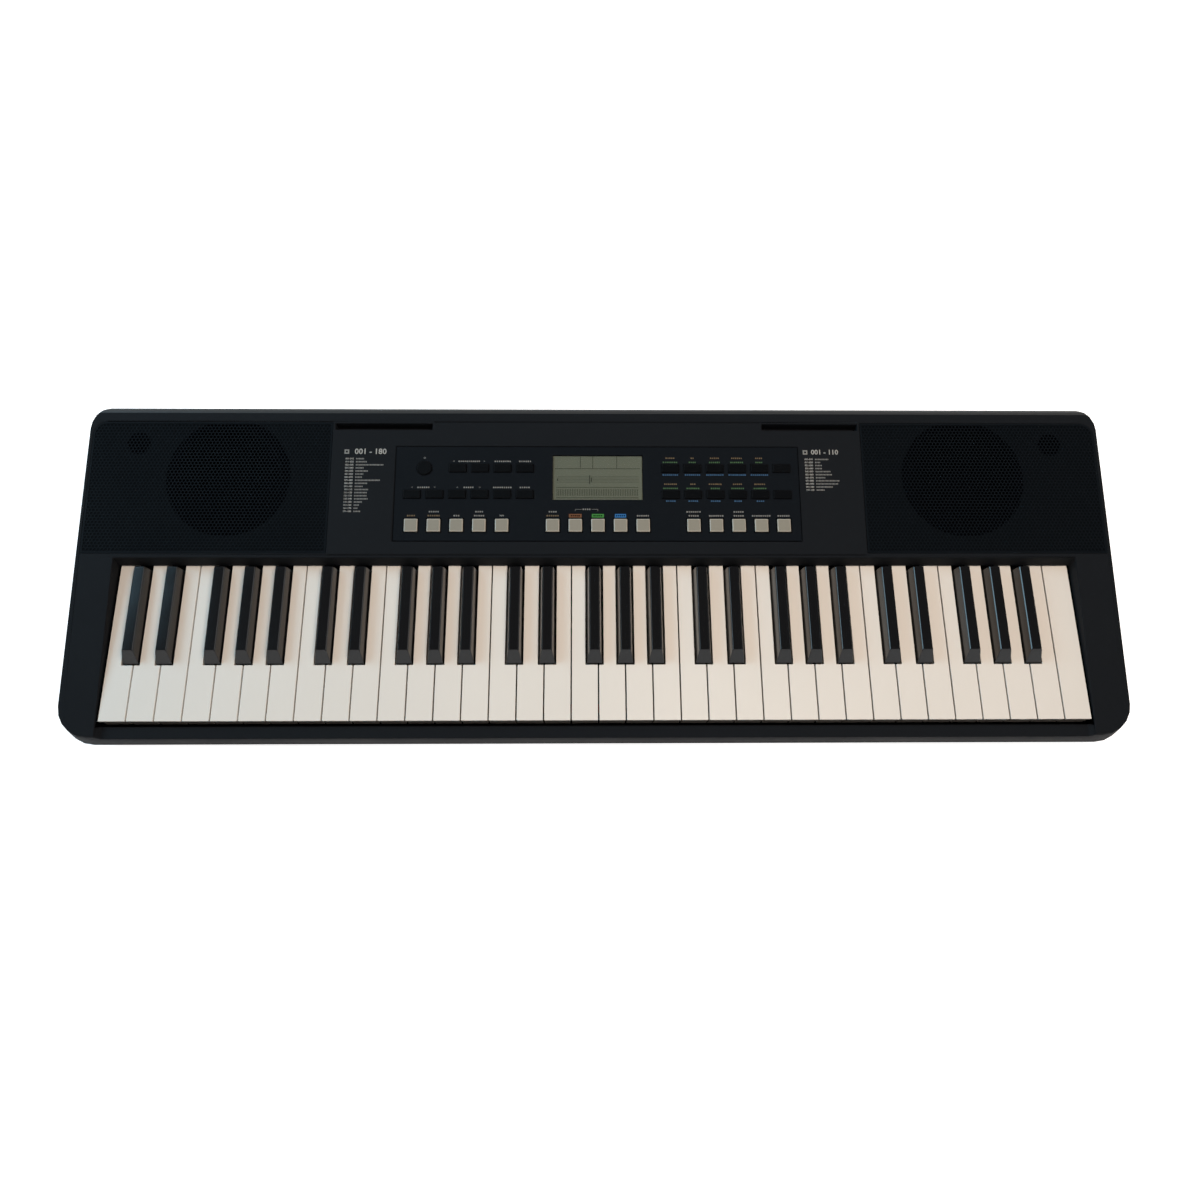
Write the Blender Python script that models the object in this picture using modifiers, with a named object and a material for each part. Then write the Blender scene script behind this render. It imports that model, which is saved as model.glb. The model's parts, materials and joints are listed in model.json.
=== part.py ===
"""Portable keyboard with 61 keys: a two-part moulded case, sprung key combs, push buttons,
two loudspeakers behind perforated grilles and a battery bay with a hinged door.

Metres, +Z up, X along the keys, +Y to the back, origin at the middle of the base.
"""

from math import atan, cos, pi, radians, sin, sqrt

import bmesh
import bpy
from mathutils import Euler, Matrix, Vector

# Overall sizes
cheek_width = 0.0370
foot_height = 0.003
front_corner_radius = 0.029
back_corner_radius = 0.025
least_corner_radius = 0.004
wall = 0.0030
nose_drop = 0.020
upper_draft = 0.0030
lower_tuck = 0.010
parting_drop = 0.0020
parting_gap = 0.0004
fit_gap = 0.0003
overlap = 0.001
reach = 0.030
block_headroom = 0.060

# Keys
octaves = 5
white_pitch = 0.0235
key_gap = 0.0012
key_top_height = 0.060
visible_key_length = 0.140
key_front_setback = 0.016
white_head_length = 0.050
white_skirt_height = 0.017
white_lip_height = 0.0026
white_lip_reach = 0.0012
white_side_height = 0.010
key_wall = 0.0018
key_top_thickness = 0.0022
key_body_past_fascia = 0.011
black_base_width = 0.0139
black_top_width = 0.0094
black_rise = 0.011
black_skirt = 0.0095
black_front_slope = 0.0086
black_edge_chamfer = 0.0008
black_side_clearance = 0.0010
black_back_clearance = 0.0037
black_arm_slope = 0.004
key_dip = 0.0091
hinge_past_fascia = 0.023
tongue_thickness = 0.0012
tongue_width = 0.0084
web_thickness = 0.0030
bar_thickness = 0.0030
bar_depth = 0.008
bar_gap = 0.0004
bar_end_gap = 0.0040

# Sloping deck over the keys' rear ends
deck_rise = 0.0010
deck_slope = 0.100
deck_back_radius = 0.0065
least_edge_radius = 0.001
fascia_lower_clearance = 0.0010
fascia_lean = 0.0024
key_end_clearance = 0.0013

# Front rail
rail_drop = 0.006
rail_gap = 0.0034
rail_thickness = 0.0025
rail_ramp = 0.0055
rail_skirt_height = 0.012

# Keybed chassis
chassis_thickness = 0.0025
chassis_drop = 0.0105
chassis_front_setback = 0.012
chassis_leg_clearance = 0.0003
chassis_step_clearance = 0.003
chassis_rib_thickness = 0.0020
guide_width = 0.0040
guide_depth = 0.0050
guide_setback = 0.0230
guide_clearance = 0.0008
felt_thickness = 0.0012
felt_setback = 0.0005
felt_width = 0.0075
strip_end_gap = 0.003
contact_board_setback = 0.084
contact_board_width = 0.032
board_thickness = 0.0016
rubber_foot_half = 0.010
rubber_waist_half = 0.005
rubber_crown_half = 0.003
rubber_base = 0.0020
rubber_height = 0.0085

# Deck layout along the slope, counted from the key fronts to the back
panel_front_margin = 0.0182
panel_length = 0.0891
slot_gap = 0.0160
slot_width = 0.0063
slot_back_margin = 0.0184
grille_front_margin = 0.0075
grille_past_slot = 0.0009
speaker_back_inset = 0.0525
cluster_back_inset = 0.0205
upper_row_inset = 0.0207
dark_row_pitch = 0.0248
lower_row_inset = 0.0146
display_back_margin = 0.0085
display_length = 0.0418
panel_post_drop = 0.0133
front_groove_gap = 0.0022
rear_groove_gap = 0.0012
groove_width = 0.0006
groove_end_gap = 0.0015

# Panels let into the deck
inlay_thickness = 0.0012
grille_margin = 0.0035
grille_width = 0.2140
grille_corner_radius = 0.012
grille_hole_radius = 0.0076
grille_hole_pitch = 0.0230
speaker_side_inset = 0.1220
speaker_window_radius = 0.0530
cluster_side_inset = 0.0415
cluster_radius = 0.0110
cluster_ring_radius = 0.0068
cluster_hole_radius = 0.0022
panel_side_margin = 0.0079
display_half_width = 0.0401
window_thickness = 0.0010
display_border = 0.0050
display_module_depth = 0.0060
display_module_gap = 0.0015
slot_side_gap = 0.0025
slot_length = 0.0874
slot_pocket_depth = 0.014
slot_wall = 0.0018

# Buttons
button_pitch = 0.0201
button_inner_x = 0.0653
buttons_each_side = 6
dark_button_width = 0.0154
dark_button_depth = 0.0077
light_button_size = 0.0119
power_button_radius = 0.0067
power_button_inset = 0.0259
button_rise = 0.0012
button_travel = 0.0012
button_clearance = 0.00035
button_web_thickness = 0.0010
button_web_margin = 0.0015
button_web_gap = 0.0006
button_edge_chamfer = 0.0006
mat_thickness = 0.0008
mat_dome_height = 0.0025
panel_board_margin = 0.004
panel_board_edge = 0.002
panel_post_radius = 0.0025
outer_post_inset = 0.0314
inner_post_inset = 0.0053

# Loudspeakers
speaker_radius = 0.0575
speaker_depth = 0.0330
cone_radius = 0.0470
surround_width = 0.0030
dust_cap_radius = 0.0160
cone_lift = 0.0040
cone_paper = 0.0006
basket_rim = 0.0020
basket_low_radius = 0.0240
basket_throat = 0.0060
basket_wall = 0.0012
basket_window_count = 4
basket_window_inner = 0.026
basket_window_outer = 0.038
basket_window_half_width = 0.012
basket_window_foot = 0.003
basket_window_height = 0.010
magnet_radius = 0.0275
magnet_height = 0.0100
speaker_sides = 16

# Feet, bosses and screws
foot_radius = 0.0080
foot_sides = 12
foot_seat_depth = 0.0008
foot_inset_x = 0.060
foot_inset_front = 0.045
foot_inset_back = 0.040
boss_radius = 0.0045
boss_bore_radius = 0.0031
screw_radius = 0.0014
screw_bite = 0.0045
boss_cap = 0.0070
boss_sides = 6
side_boss_inset = 0.0190
middle_boss_past_fascia = 0.015
rear_boss_inset = 0.040
back_boss_x = 0.140
back_boss_inset = 0.0120

# Battery bay
bay_half_width = 0.048
bay_back_inset = 0.038
bay_length = 0.060
bay_depth = 0.019
bay_wall = 0.0020
door_thickness = 0.0022
door_ledge = 0.0030
door_clearance = 0.0005
door_grip_half_width = 0.0100
door_grip_depth = 0.0012
door_grip_length = 0.0060
contact_thickness = 0.0006
contact_width = 0.0110
contact_height = 0.0120
contact_side_gap = 0.0025
contact_top_gap = 0.0020

# Boards and sockets
main_board_width = 0.150
main_board_length = 0.070
main_board_back_inset = 0.032
main_board_bay_gap = 0.017
main_board_lift = 0.006
post_radius = 0.0030
post_inset = 0.008
ribbon_inset = 0.012
ribbon_width = 0.030
ribbon_thickness = 0.0008
socket_height = 0.026
socket_reach = 0.012
socket_body_drop = 0.0066
socket_board_inset = 0.110
socket_board_length = 0.196
socket_post_inset = 0.032
usb_end_gap = 0.011
usb_half_width = 0.0066
usb_half_height = 0.0061
usb_shell = 0.0014

# Worked out from the sizes above
white_count = 7 * octaves + 1
key_span = white_count * white_pitch
key_left = -key_span / 2
case_width = key_span + 2 * cheek_width
panel_front = visible_key_length + panel_front_margin
panel_back = panel_front + panel_length
slot_front = panel_back + slot_gap
slot_back = slot_front + slot_width
case_depth = key_front_setback + slot_back + slot_back_margin
front_y = -case_depth / 2
back_y = case_depth / 2
key_y = front_y + key_front_setback
fascia_y = key_y + visible_key_length
hinge_y = fascia_y + hinge_past_fascia
well_half_width = key_span / 2 + key_end_clearance
deck_angle = atan(deck_slope)
case_bottom = foot_height
floor_top = case_bottom + wall
nose_height = key_top_height - nose_drop
parting_height = key_top_height - parting_drop
rail_height = key_top_height - rail_drop
upper_half_width = case_width / 2 - upper_draft
upper_back_y = back_y - upper_draft
key_underside = key_top_height - white_skirt_height
chassis_y = key_y + chassis_front_setback
chassis_top_height = key_underside - chassis_drop
main_board_height = floor_top + main_board_lift
hinge_radius = hinge_y - key_y
bar_step = bar_thickness + bar_gap
black_hinge_z = key_underside + bar_thickness
d_f_a_hinge_z = black_hinge_z + bar_step
c_e_g_b_hinge_z = d_f_a_hinge_z + bar_step
bar_platform_height = black_hinge_z - bar_thickness / 2 - fit_gap
grille_outer_x = upper_half_width - grille_margin
grille_inner_x = grille_outer_x - grille_width
grille_front = visible_key_length + grille_front_margin
grille_back = slot_back + grille_past_slot
speaker_x = grille_outer_x - speaker_side_inset
speaker_s = grille_back - speaker_back_inset
cluster_x = grille_outer_x - cluster_side_inset
cluster_s = grille_back - cluster_back_inset
slot_outer_x = grille_inner_x - slot_side_gap
slot_inner_x = slot_outer_x - slot_length
button_outer_x = button_inner_x + (buttons_each_side - 1) * button_pitch
panel_half_width = button_outer_x + dark_button_width / 2 + panel_side_margin
power_button_x = panel_half_width - power_button_inset
upper_row_s = panel_back - upper_row_inset
middle_row_s = upper_row_s - dark_row_pitch
lower_row_s = panel_front + lower_row_inset
display_back = panel_back - display_back_margin
display_front = display_back - display_length
button_foot = -wall - button_web_gap
flange_foot = button_foot - button_web_thickness
mat_top = flange_foot - button_travel - fit_gap
mat_foot = mat_top - mat_dome_height
panel_board_top = mat_foot - mat_thickness - fit_gap
panel_board_low = panel_board_top - board_thickness

# The scene starts empty, with one collection for the parts and one for the cutters
for leftover in list(bpy.data.objects):
    bpy.data.objects.remove(leftover, do_unlink=True)
parts = bpy.data.collections.new("portable_keyboard")
cutters = bpy.data.collections.new("cutters")
bpy.context.scene.collection.children.link(parts)
bpy.context.scene.collection.children.link(cutters)


def plastic(name, colour, roughness, metallic=0.0):
    material = bpy.data.materials.new(name)
    material.use_nodes = True
    shader = material.node_tree.nodes["Principled BSDF"]
    shader.inputs["Base Color"].default_value = (*colour, 1)
    shader.inputs["Roughness"].default_value = roughness
    shader.inputs["Metallic"].default_value = metallic
    return material


case_black = plastic("case_black", (0.012, 0.014, 0.017), 0.55)
grille_black = plastic("grille_black", (0.006, 0.007, 0.010), 0.6)
key_white = plastic("key_white", (0.72, 0.70, 0.66), 0.25)
key_black = plastic("key_black", (0.008, 0.008, 0.009), 0.2)
button_dark = plastic("button_dark", (0.010, 0.011, 0.012), 0.45)
button_light = plastic("button_light", (0.40, 0.38, 0.30), 0.5)
window_clear = plastic("window_clear", (0.10, 0.11, 0.09), 0.1)
display_grey = plastic("display_grey", (0.14, 0.15, 0.11), 0.4)
board_green = plastic("board_green", (0.02, 0.10, 0.04), 0.5)
rubber_black = plastic("rubber_black", (0.010, 0.010, 0.010), 0.8)
rubber_grey = plastic("rubber_grey", (0.20, 0.20, 0.20), 0.8)
felt_red = plastic("felt_red", (0.25, 0.02, 0.02), 0.95)
chassis_grey = plastic("chassis_grey", (0.03, 0.03, 0.03), 0.6)
steel = plastic("steel", (0.45, 0.45, 0.46), 0.35, 1.0)
basket_black = plastic("basket_black", (0.012, 0.012, 0.013), 0.5)
ferrite = plastic("ferrite", (0.03, 0.03, 0.03), 0.7)
paper_black = plastic("paper_black", (0.015, 0.015, 0.015), 0.9)
ribbon_ivory = plastic("ribbon_ivory", (0.55, 0.55, 0.52), 0.5)


def deck_z(y):
    return key_top_height + deck_rise + deck_slope * (y - key_y)


def add_box(bm, low, high):
    size = Vector(high) - Vector(low)
    middle = (Vector(high) + Vector(low)) / 2
    made = bmesh.ops.create_cube(bm, size=1.0)
    bmesh.ops.scale(bm, vec=size, verts=made["verts"])
    bmesh.ops.translate(bm, vec=middle, verts=made["verts"])
    return made["verts"]


def add_cylinder(bm, place, radius, low, high, sides, turn=None):
    """A cylinder from low to high along its axis through place: Z, or Z turned by a matrix."""
    made = bmesh.ops.create_cone(
        bm, cap_ends=True, segments=sides, radius1=radius, radius2=radius, depth=high - low
    )
    lift = Matrix.Translation((0, 0, (low + high) / 2))
    matrix = Matrix.Translation(place) @ (turn or Matrix()) @ lift
    bmesh.ops.transform(bm, matrix=matrix, verts=made["verts"])


def add_outline(bm, points, low, high, plane="XY"):
    """A flat outline filled by a 2D curve and extruded: along Z, X (plane YZ) or Y (plane XZ)."""
    curve = bpy.data.curves.new("outline", "CURVE")
    curve.dimensions = "2D"
    curve.fill_mode = "BOTH"
    curve.extrude = (high - low) / 2
    spline = curve.splines.new("POLY")
    spline.points.add(len(points) - 1)
    for point, (u, v) in zip(spline.points, points):
        point.co = (u, v, 0, 1)
    spline.use_cyclic_u = True
    carrier = bpy.data.objects.new("outline", curve)
    bpy.context.scene.collection.objects.link(carrier)
    depsgraph = bpy.context.evaluated_depsgraph_get()
    mesh = bpy.data.meshes.new_from_object(carrier.evaluated_get(depsgraph))
    bpy.data.objects.remove(carrier, do_unlink=True)
    middle = (low + high) / 2
    along_x = Matrix(((0, 0, 1, 0), (1, 0, 0, 0), (0, 1, 0, 0), (0, 0, 0, 1)))
    along_y = Matrix(((1, 0, 0, 0), (0, 0, -1, 0), (0, 1, 0, 0), (0, 0, 0, 1)))
    turn = {
        "XY": Matrix.Translation((0, 0, middle)),
        "YZ": Matrix.Translation((middle, 0, 0)) @ along_x,
        "XZ": Matrix.Translation((0, middle, 0)) @ along_y,
    }
    mesh.transform(turn[plane])
    piece = bmesh.new()
    piece.from_mesh(mesh)
    bmesh.ops.remove_doubles(piece, verts=piece.verts, dist=1e-6)
    bmesh.ops.recalc_face_normals(piece, faces=piece.faces)
    bmesh.ops.dissolve_limit(piece, angle_limit=0.001, verts=piece.verts, edges=piece.edges)
    piece.to_mesh(mesh)
    piece.free()
    bm.from_mesh(mesh)
    bpy.data.meshes.remove(mesh)


def add_loft(bm, sections):
    """Skin between outlines with the same number of points, closed at both ends."""
    rings = [[bm.verts.new(point) for point in section] for section in sections]
    for lower, upper in zip(rings, rings[1:]):
        for i in range(len(lower)):
            j = (i + 1) % len(lower)
            bm.faces.new((lower[i], lower[j], upper[j], upper[i]))
    bm.faces.new(reversed(rings[0]))
    bm.faces.new(rings[-1])


def rectangle(x_low, x_high, y_low, y_high, z):
    corners = ((x_low, y_low), (x_high, y_low), (x_high, y_high), (x_low, y_high))
    return [Vector((x, y, z)) for x, y in corners]


def make_object(name, bm, material=None, parent=None, origin=(0, 0, 0)):
    """Turns the mesh into an object whose origin is the given point of its own frame."""
    mesh = bpy.data.meshes.new(name)
    bmesh.ops.translate(bm, vec=-Vector(origin), verts=bm.verts)
    bm.to_mesh(mesh)
    bm.free()
    made = bpy.data.objects.new(name, mesh)
    made.location = origin
    made.parent = parent
    if material is None:
        cutters.objects.link(made)
        made.hide_render = True
        made.display_type = "WIRE"
    else:
        parts.objects.link(made)
        mesh.materials.append(material)
    return made


def combine(target, other, operation="DIFFERENCE"):
    modifier = target.modifiers.new(other.name, "BOOLEAN")
    modifier.operation = operation
    modifier.solver = "EXACT"
    modifier.object = other


def smooth(target, angle=35):
    target.data.shade_smooth()
    target.data.set_sharp_from_angle(angle=radians(angle))


def turned(name, profile, material, sides, parent=None, place=(0, 0, 0)):
    """A closed (radius, height) profile turned about the local Z axis with Screw."""
    bm = bmesh.new()
    ring = [bm.verts.new((radius, 0, height)) for radius, height in profile]
    loop_ends = zip(ring, ring[1:] + ring[:1])
    for first, second in loop_ends:
        if first.co.x > 0 or second.co.x > 0:
            bm.edges.new((first, second))
    made = make_object(name, bm, material, parent)
    made.location = place
    screw = made.modifiers.new("turn", "SCREW")
    screw.steps = sides
    screw.render_steps = sides
    screw.use_merge_vertices = True
    screw.merge_threshold = 0.0001
    screw.use_normal_calculate = True
    screw.use_normal_flip = profile[0][0] == 0
    return made


# Case shell: both halves come from one tapered block whose top is cut by the sloping deck
def case_outline(inset, height):
    half = case_width / 2 - inset
    points = []
    corners = (
        (half, front_y + inset, front_corner_radius, -90, 1, 1),
        (half, back_y - inset, back_corner_radius, 0, 1, -1),
        (-half, back_y - inset, back_corner_radius, 90, -1, -1),
        (-half, front_y + inset, front_corner_radius, 180, -1, 1),
    )
    steps = 5
    for x, y, full_radius, start, side_x, side_y in corners:
        radius = max(full_radius - inset, least_corner_radius)
        middle = Vector((x - side_x * radius, y + side_y * radius))
        for step in range(steps + 1):
            angle = radians(start + 90 * step / steps)
            points.append(Vector((middle.x + radius * cos(angle), middle.y + radius * sin(angle), height)))
    return points


def above_deck(depth):
    """Everything over the deck's surface lowered by depth, with the rounded rear edge."""
    radius = max(deck_back_radius - depth, least_edge_radius)
    middle_y = upper_back_y - depth - radius + parting_gap / 4
    middle_z = deck_z(middle_y) - depth - radius / cos(deck_angle)
    front = front_y - reach
    ceiling = key_top_height + 2 * block_headroom
    points = [(front, deck_z(front) - depth)]
    turn = pi / 2 + deck_angle
    steps = 5
    for step in range(steps + 1):
        angle = turn * (1 - step / steps)
        points.append((middle_y + radius * cos(angle), middle_z + radius * sin(angle)))
    points += [(back_y + reach, middle_z), (back_y + reach, ceiling), (front, ceiling)]
    bm = bmesh.new()
    add_outline(bm, points, -case_width, case_width, "YZ")
    return bm


def case_loft(name, depth, material=None):
    """The tapered block without the deck's cut, its sides and floor moved in by depth."""
    bm = bmesh.new()
    add_loft(bm, [
        case_outline(lower_tuck + depth, case_bottom + depth),
        case_outline(depth, nose_height),
        case_outline(upper_draft + depth, key_top_height),
        case_outline(upper_draft + depth, key_top_height + block_headroom),
    ])
    return make_object(name, bm, material)


def case_block(name, depth, material=None):
    block = case_loft(name, depth, material)
    combine(block, make_object(name + "_over_deck", above_deck(depth)))
    return block


deck_frame = bpy.data.objects.new("deck_frame", None)
deck_frame.location = (0, key_y, key_top_height + deck_rise)
deck_frame.rotation_euler = Euler((deck_angle, 0, 0))
parts.objects.link(deck_frame)

upper_case = case_block("upper_case", 0.0, case_black)
lower_case = case_loft("lower_case", 0.0, case_black)

bm = bmesh.new()
add_box(
    bm, (-case_width, front_y - reach, -reach),
    (case_width, back_y + reach, parting_height + parting_gap),
)
combine(upper_case, make_object("below_parting", bm))
bm = bmesh.new()
add_box(
    bm, (-case_width, front_y - reach, parting_height),
    (case_width, back_y + reach, key_top_height + 2 * block_headroom),
)
combine(lower_case, make_object("above_parting", bm))

# The well for the keys, and the walls that stay round it when the upper case is hollowed
fascia_foot = key_top_height + fascia_lower_clearance
fascia_top_y = fascia_y + fascia_lean
fascia_top_z = deck_z(fascia_top_y)
well_front = front_y - reach
well_low = parting_height - reach
lean_rate = fascia_lean / (fascia_top_z - fascia_foot)


def well_outline(offset, rear):
    """Side view of the key well: its back is the leaning fascia, moved back by offset."""
    top = fascia_top_z + reach
    lean = lean_rate * (top - fascia_foot)
    return [
        (well_front, well_low), (rear, well_low), (rear, fascia_foot), (fascia_y + offset, fascia_foot),
        (fascia_y + offset + lean, top), (well_front, top),
    ]


bm = bmesh.new()
kept_half = well_half_width + wall
add_outline(bm, well_outline(wall, fascia_y + wall), -kept_half, kept_half, "YZ")
well_walls = make_object("well_walls", bm)
upper_cavity = case_block("upper_cavity", wall)
combine(upper_cavity, well_walls)
combine(upper_case, upper_cavity)

bm = bmesh.new()
add_outline(bm, well_outline(0.0, fascia_y + wall + overlap), -well_half_width, well_half_width, "YZ")
combine(upper_case, make_object("key_well", bm))

# Let-in panels: shallow pockets in the deck, with windows through its floor
pocket_depth = inlay_thickness + fit_gap


def grille_outline(side, gap):
    outer = grille_outer_x + gap
    inner = grille_inner_x - gap
    front = grille_front - gap
    back = grille_back + gap
    radius = grille_corner_radius + gap
    points = [(inner, front), (outer, front)]
    steps = 4
    for step in range(steps + 1):
        angle = radians(90 * step / steps)
        points.append((outer - radius + radius * cos(angle), back - radius + radius * sin(angle)))
    points.append((inner, back))
    return [(side * x, s) for x, s in (points if side > 0 else reversed(points))]


bm = bmesh.new()
for side in (-1, 1):
    add_outline(bm, grille_outline(side, fit_gap), -pocket_depth, reach)
add_box(
    bm, (-panel_half_width - fit_gap, panel_front - fit_gap, -pocket_depth),
    (panel_half_width + fit_gap, panel_back + fit_gap, reach),
)
combine(upper_case, make_object("deck_pockets", bm, parent=deck_frame))

bm = bmesh.new()
slot_floor = slot_wall - slot_pocket_depth
for side in (-1, 1):
    add_cylinder(bm, (side * speaker_x, speaker_s, 0), speaker_window_radius, -reach, reach, 24)
    add_cylinder(bm, (side * cluster_x, cluster_s, 0), cluster_radius, -reach, reach, 12)
    slot_low, slot_high = sorted((side * slot_inner_x, side * slot_outer_x))
    add_box(bm, (slot_low, slot_front, slot_floor), (slot_high, slot_back, reach))
speaker_windows = make_object("deck_windows", bm, parent=deck_frame)


# Button rows: name, row position, button centres along x, button size
def row_columns(first, count):
    return [first + button_pitch * i for i in range(count)]


right_columns = row_columns(button_inner_x, buttons_each_side)
left_columns = [-x for x in reversed(right_columns)]
centre_columns = row_columns(-2 * button_pitch, 5)
dark_size = (dark_button_width, dark_button_depth)
light_size = (light_button_size, light_button_size)
button_rows = [
    ("left_upper_buttons", upper_row_s, left_columns[2:], dark_size, button_dark),
    ("left_middle_buttons", middle_row_s, left_columns, dark_size, button_dark),
    ("left_lower_buttons", lower_row_s, left_columns[:5], light_size, button_light),
    ("centre_lower_buttons", lower_row_s, centre_columns, light_size, button_light),
    ("right_upper_buttons", upper_row_s, right_columns, dark_size, button_dark),
    ("right_middle_buttons", middle_row_s, right_columns, dark_size, button_dark),
    ("right_lower_buttons", lower_row_s, right_columns[1:], light_size, button_light),
]

bm = bmesh.new()
for name, row, columns, (size_x, size_s), material in button_rows:
    reach_x = size_x / 2 + button_clearance
    reach_s = size_s / 2 + button_clearance
    row_low = (columns[0] - reach_x, row - reach_s, -reach)
    add_box(bm, row_low, (columns[-1] + reach_x, row + reach_s, reach))
row_windows = make_object("row_windows", bm, parent=deck_frame)
bm = bmesh.new()
for name, row, columns, (size_x, size_s), material in button_rows:
    for x in columns:
        reach_x = size_x / 2 + button_clearance
        reach_s = size_s / 2 + button_clearance
        add_box(bm, (x - reach_x, row - reach_s, -reach), (x + reach_x, row + reach_s, reach))
button_holes = make_object("button_holes", bm, parent=deck_frame)
bm = bmesh.new()
power_place = (-power_button_x, upper_row_s, 0)
add_cylinder(bm, power_place, power_button_radius + button_clearance, -reach, reach, 16)
window_half = display_half_width + fit_gap
add_box(bm, (-window_half, display_front - fit_gap, -reach), (window_half, display_back + fit_gap, reach))
panel_holes = make_object("panel_holes", bm, parent=deck_frame)

# Pockets that take the music rest's feet hang below the deck; bosses meet the lower case
bm = bmesh.new()
for side in (-1, 1):
    slot_low, slot_high = sorted((side * slot_inner_x, side * slot_outer_x))
    add_box(
        bm, (slot_low - slot_wall, slot_front - slot_wall, -slot_pocket_depth),
        (slot_high + slot_wall, slot_back + slot_wall, -wall / 2),
    )
combine(upper_case, make_object("slot_pockets", bm, parent=deck_frame), "UNION")

panel_post_x = (panel_half_width - outer_post_inset, button_inner_x - inner_post_inset)
panel_posts = [(side * x, middle_row_s - panel_post_drop) for x in panel_post_x for side in (-1, 1)]
bm = bmesh.new()
for x, s in panel_posts:
    add_cylinder(bm, (x, s, 0), panel_post_radius, panel_board_top + fit_gap, -wall / 2, 6)
combine(upper_case, make_object("panel_pillars", bm, parent=deck_frame), "UNION")

side_boss_x = upper_half_width - side_boss_inset
side_boss_y = (
    key_y + visible_key_length / 2, fascia_y + middle_boss_past_fascia, upper_back_y - rear_boss_inset,
)
boss_places = [(side * side_boss_x, y) for side in (-1, 1) for y in side_boss_y]
boss_places += [(side * back_boss_x, upper_back_y - back_boss_inset) for side in (-1, 1)]
bm = bmesh.new()
for x, y in boss_places:
    boss_top = deck_z(y - boss_radius) - 2 * wall / 3
    add_cylinder(bm, (x, y, 0), boss_radius, parting_height + parting_gap, boss_top, boss_sides)
combine(upper_case, make_object("upper_bosses", bm), "UNION")
bm = bmesh.new()
for x, y in boss_places:
    bore_low = parting_height - reach
    add_cylinder(bm, (x, y, 0), screw_radius + fit_gap, bore_low, parting_height + screw_bite, boss_sides)
combine(upper_case, make_object("upper_boss_bores", bm))
combine(upper_case, speaker_windows)
combine(upper_case, row_windows)
combine(upper_case, panel_holes)

# Styling grooves across the deck, in front of the panel and between the slots
bm = bmesh.new()
front_groove = grille_front - front_groove_gap
rear_groove = slot_back + rear_groove_gap
for end_x, groove_s in ((grille_inner_x, front_groove), (slot_inner_x, rear_groove)):
    half = end_x - groove_end_gap
    add_box(bm, (-half, groove_s, -groove_width), (half, groove_s + groove_width, groove_width))
combine(upper_case, make_object("deck_grooves", bm, parent=deck_frame))

# Lower case: the front wall is cut down to the rail, with a ramp up to each cheek
ramp_rise = parting_height - rail_height
ramp_run = rail_ramp * ramp_rise / rail_drop
rail_half = well_half_width - ramp_run
rail_back_y = key_y - rail_gap
ramp_top = rail_height + 3 * ramp_rise
ramp_reach = rail_half + 3 * ramp_run
over_rail_points = [
    (-rail_half, rail_height), (rail_half, rail_height), (ramp_reach, ramp_top), (-ramp_reach, ramp_top),
]
bm = bmesh.new()
add_outline(bm, over_rail_points, well_front, rail_back_y + overlap, "XZ")
combine(lower_case, make_object("over_rail", bm))

lower_cavity = case_loft("lower_cavity", wall)
rail_reach = well_half_width + wall
skirt_foot = rail_height - rail_thickness - rail_skirt_height
bm = bmesh.new()
rail_points = [
    (-rail_reach, parting_height + overlap), (-rail_reach, skirt_foot), (-well_half_width, skirt_foot),
    (-well_half_width, parting_height - rail_thickness), (-rail_half, rail_height - rail_thickness),
    (rail_half, rail_height - rail_thickness), (well_half_width, parting_height - rail_thickness),
    (well_half_width, skirt_foot), (rail_reach, skirt_foot), (rail_reach, parting_height + overlap),
]
add_outline(bm, rail_points, well_front, rail_back_y - rail_thickness / 2, "XZ")
combine(lower_cavity, make_object("rail_keep", bm))
bm = bmesh.new()
add_box(
    bm, (-rail_reach + wall / 2, rail_back_y - rail_thickness, skirt_foot + overlap),
    (rail_reach - wall / 2, rail_back_y, rail_height + overlap),
)
combine(lower_cavity, make_object("rail_skirt", bm))
combine(lower_case, lower_cavity)

# Battery bay: a walled box standing in the tub, open below, with a ledge round the door
bay_end_y = back_y - bay_back_inset
bay_y = bay_end_y - bay_length
bay_top = case_bottom + bay_depth
ledge_half = bay_half_width + door_ledge
ledge_top = case_bottom + door_thickness + fit_gap
bm = bmesh.new()
add_box(
    bm, (-ledge_half - bay_wall, bay_y - door_ledge - bay_wall, floor_top - wall / 2),
    (ledge_half + bay_wall, bay_end_y + door_ledge + bay_wall, ledge_top + bay_wall),
)
combine(lower_case, make_object("bay_ledge", bm), "UNION")
bm = bmesh.new()
add_box(
    bm, (-bay_half_width - bay_wall, bay_y - bay_wall, floor_top - wall / 4),
    (bay_half_width + bay_wall, bay_end_y + bay_wall, bay_top + bay_wall),
)
combine(lower_case, make_object("bay_box", bm), "UNION")

# Sockets in the rear wall: name, place along their board, outer and bore radius, body half width
sockets = [
    ("power_inlet", 0.010, 0.0056, 0.0032, 0.0060),
    ("headphone_socket", 0.080, 0.0056, 0.0033, 0.0065),
    ("pedal_socket", 0.115, 0.0056, 0.0033, 0.0065),
    ("audio_input_socket", 0.145, 0.0040, 0.0022, 0.0050),
]
socket_wall_slope = lower_tuck / (nose_height - case_bottom)
socket_face_y = back_y - socket_wall_slope * (nose_height - socket_height)
socket_board_low = socket_height - socket_body_drop - board_thickness
socket_body_end = back_y - wall - socket_wall_slope * (nose_height - socket_board_low) - 2 * fit_gap
socket_board_y = socket_body_end - socket_reach
socket_board_x = socket_board_inset - case_width / 2
socket_board_end_x = socket_board_x + socket_board_length
usb_x = socket_board_end_x - usb_end_gap
socket_posts = (socket_board_x + socket_post_inset, socket_board_end_x - socket_post_inset)

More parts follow.
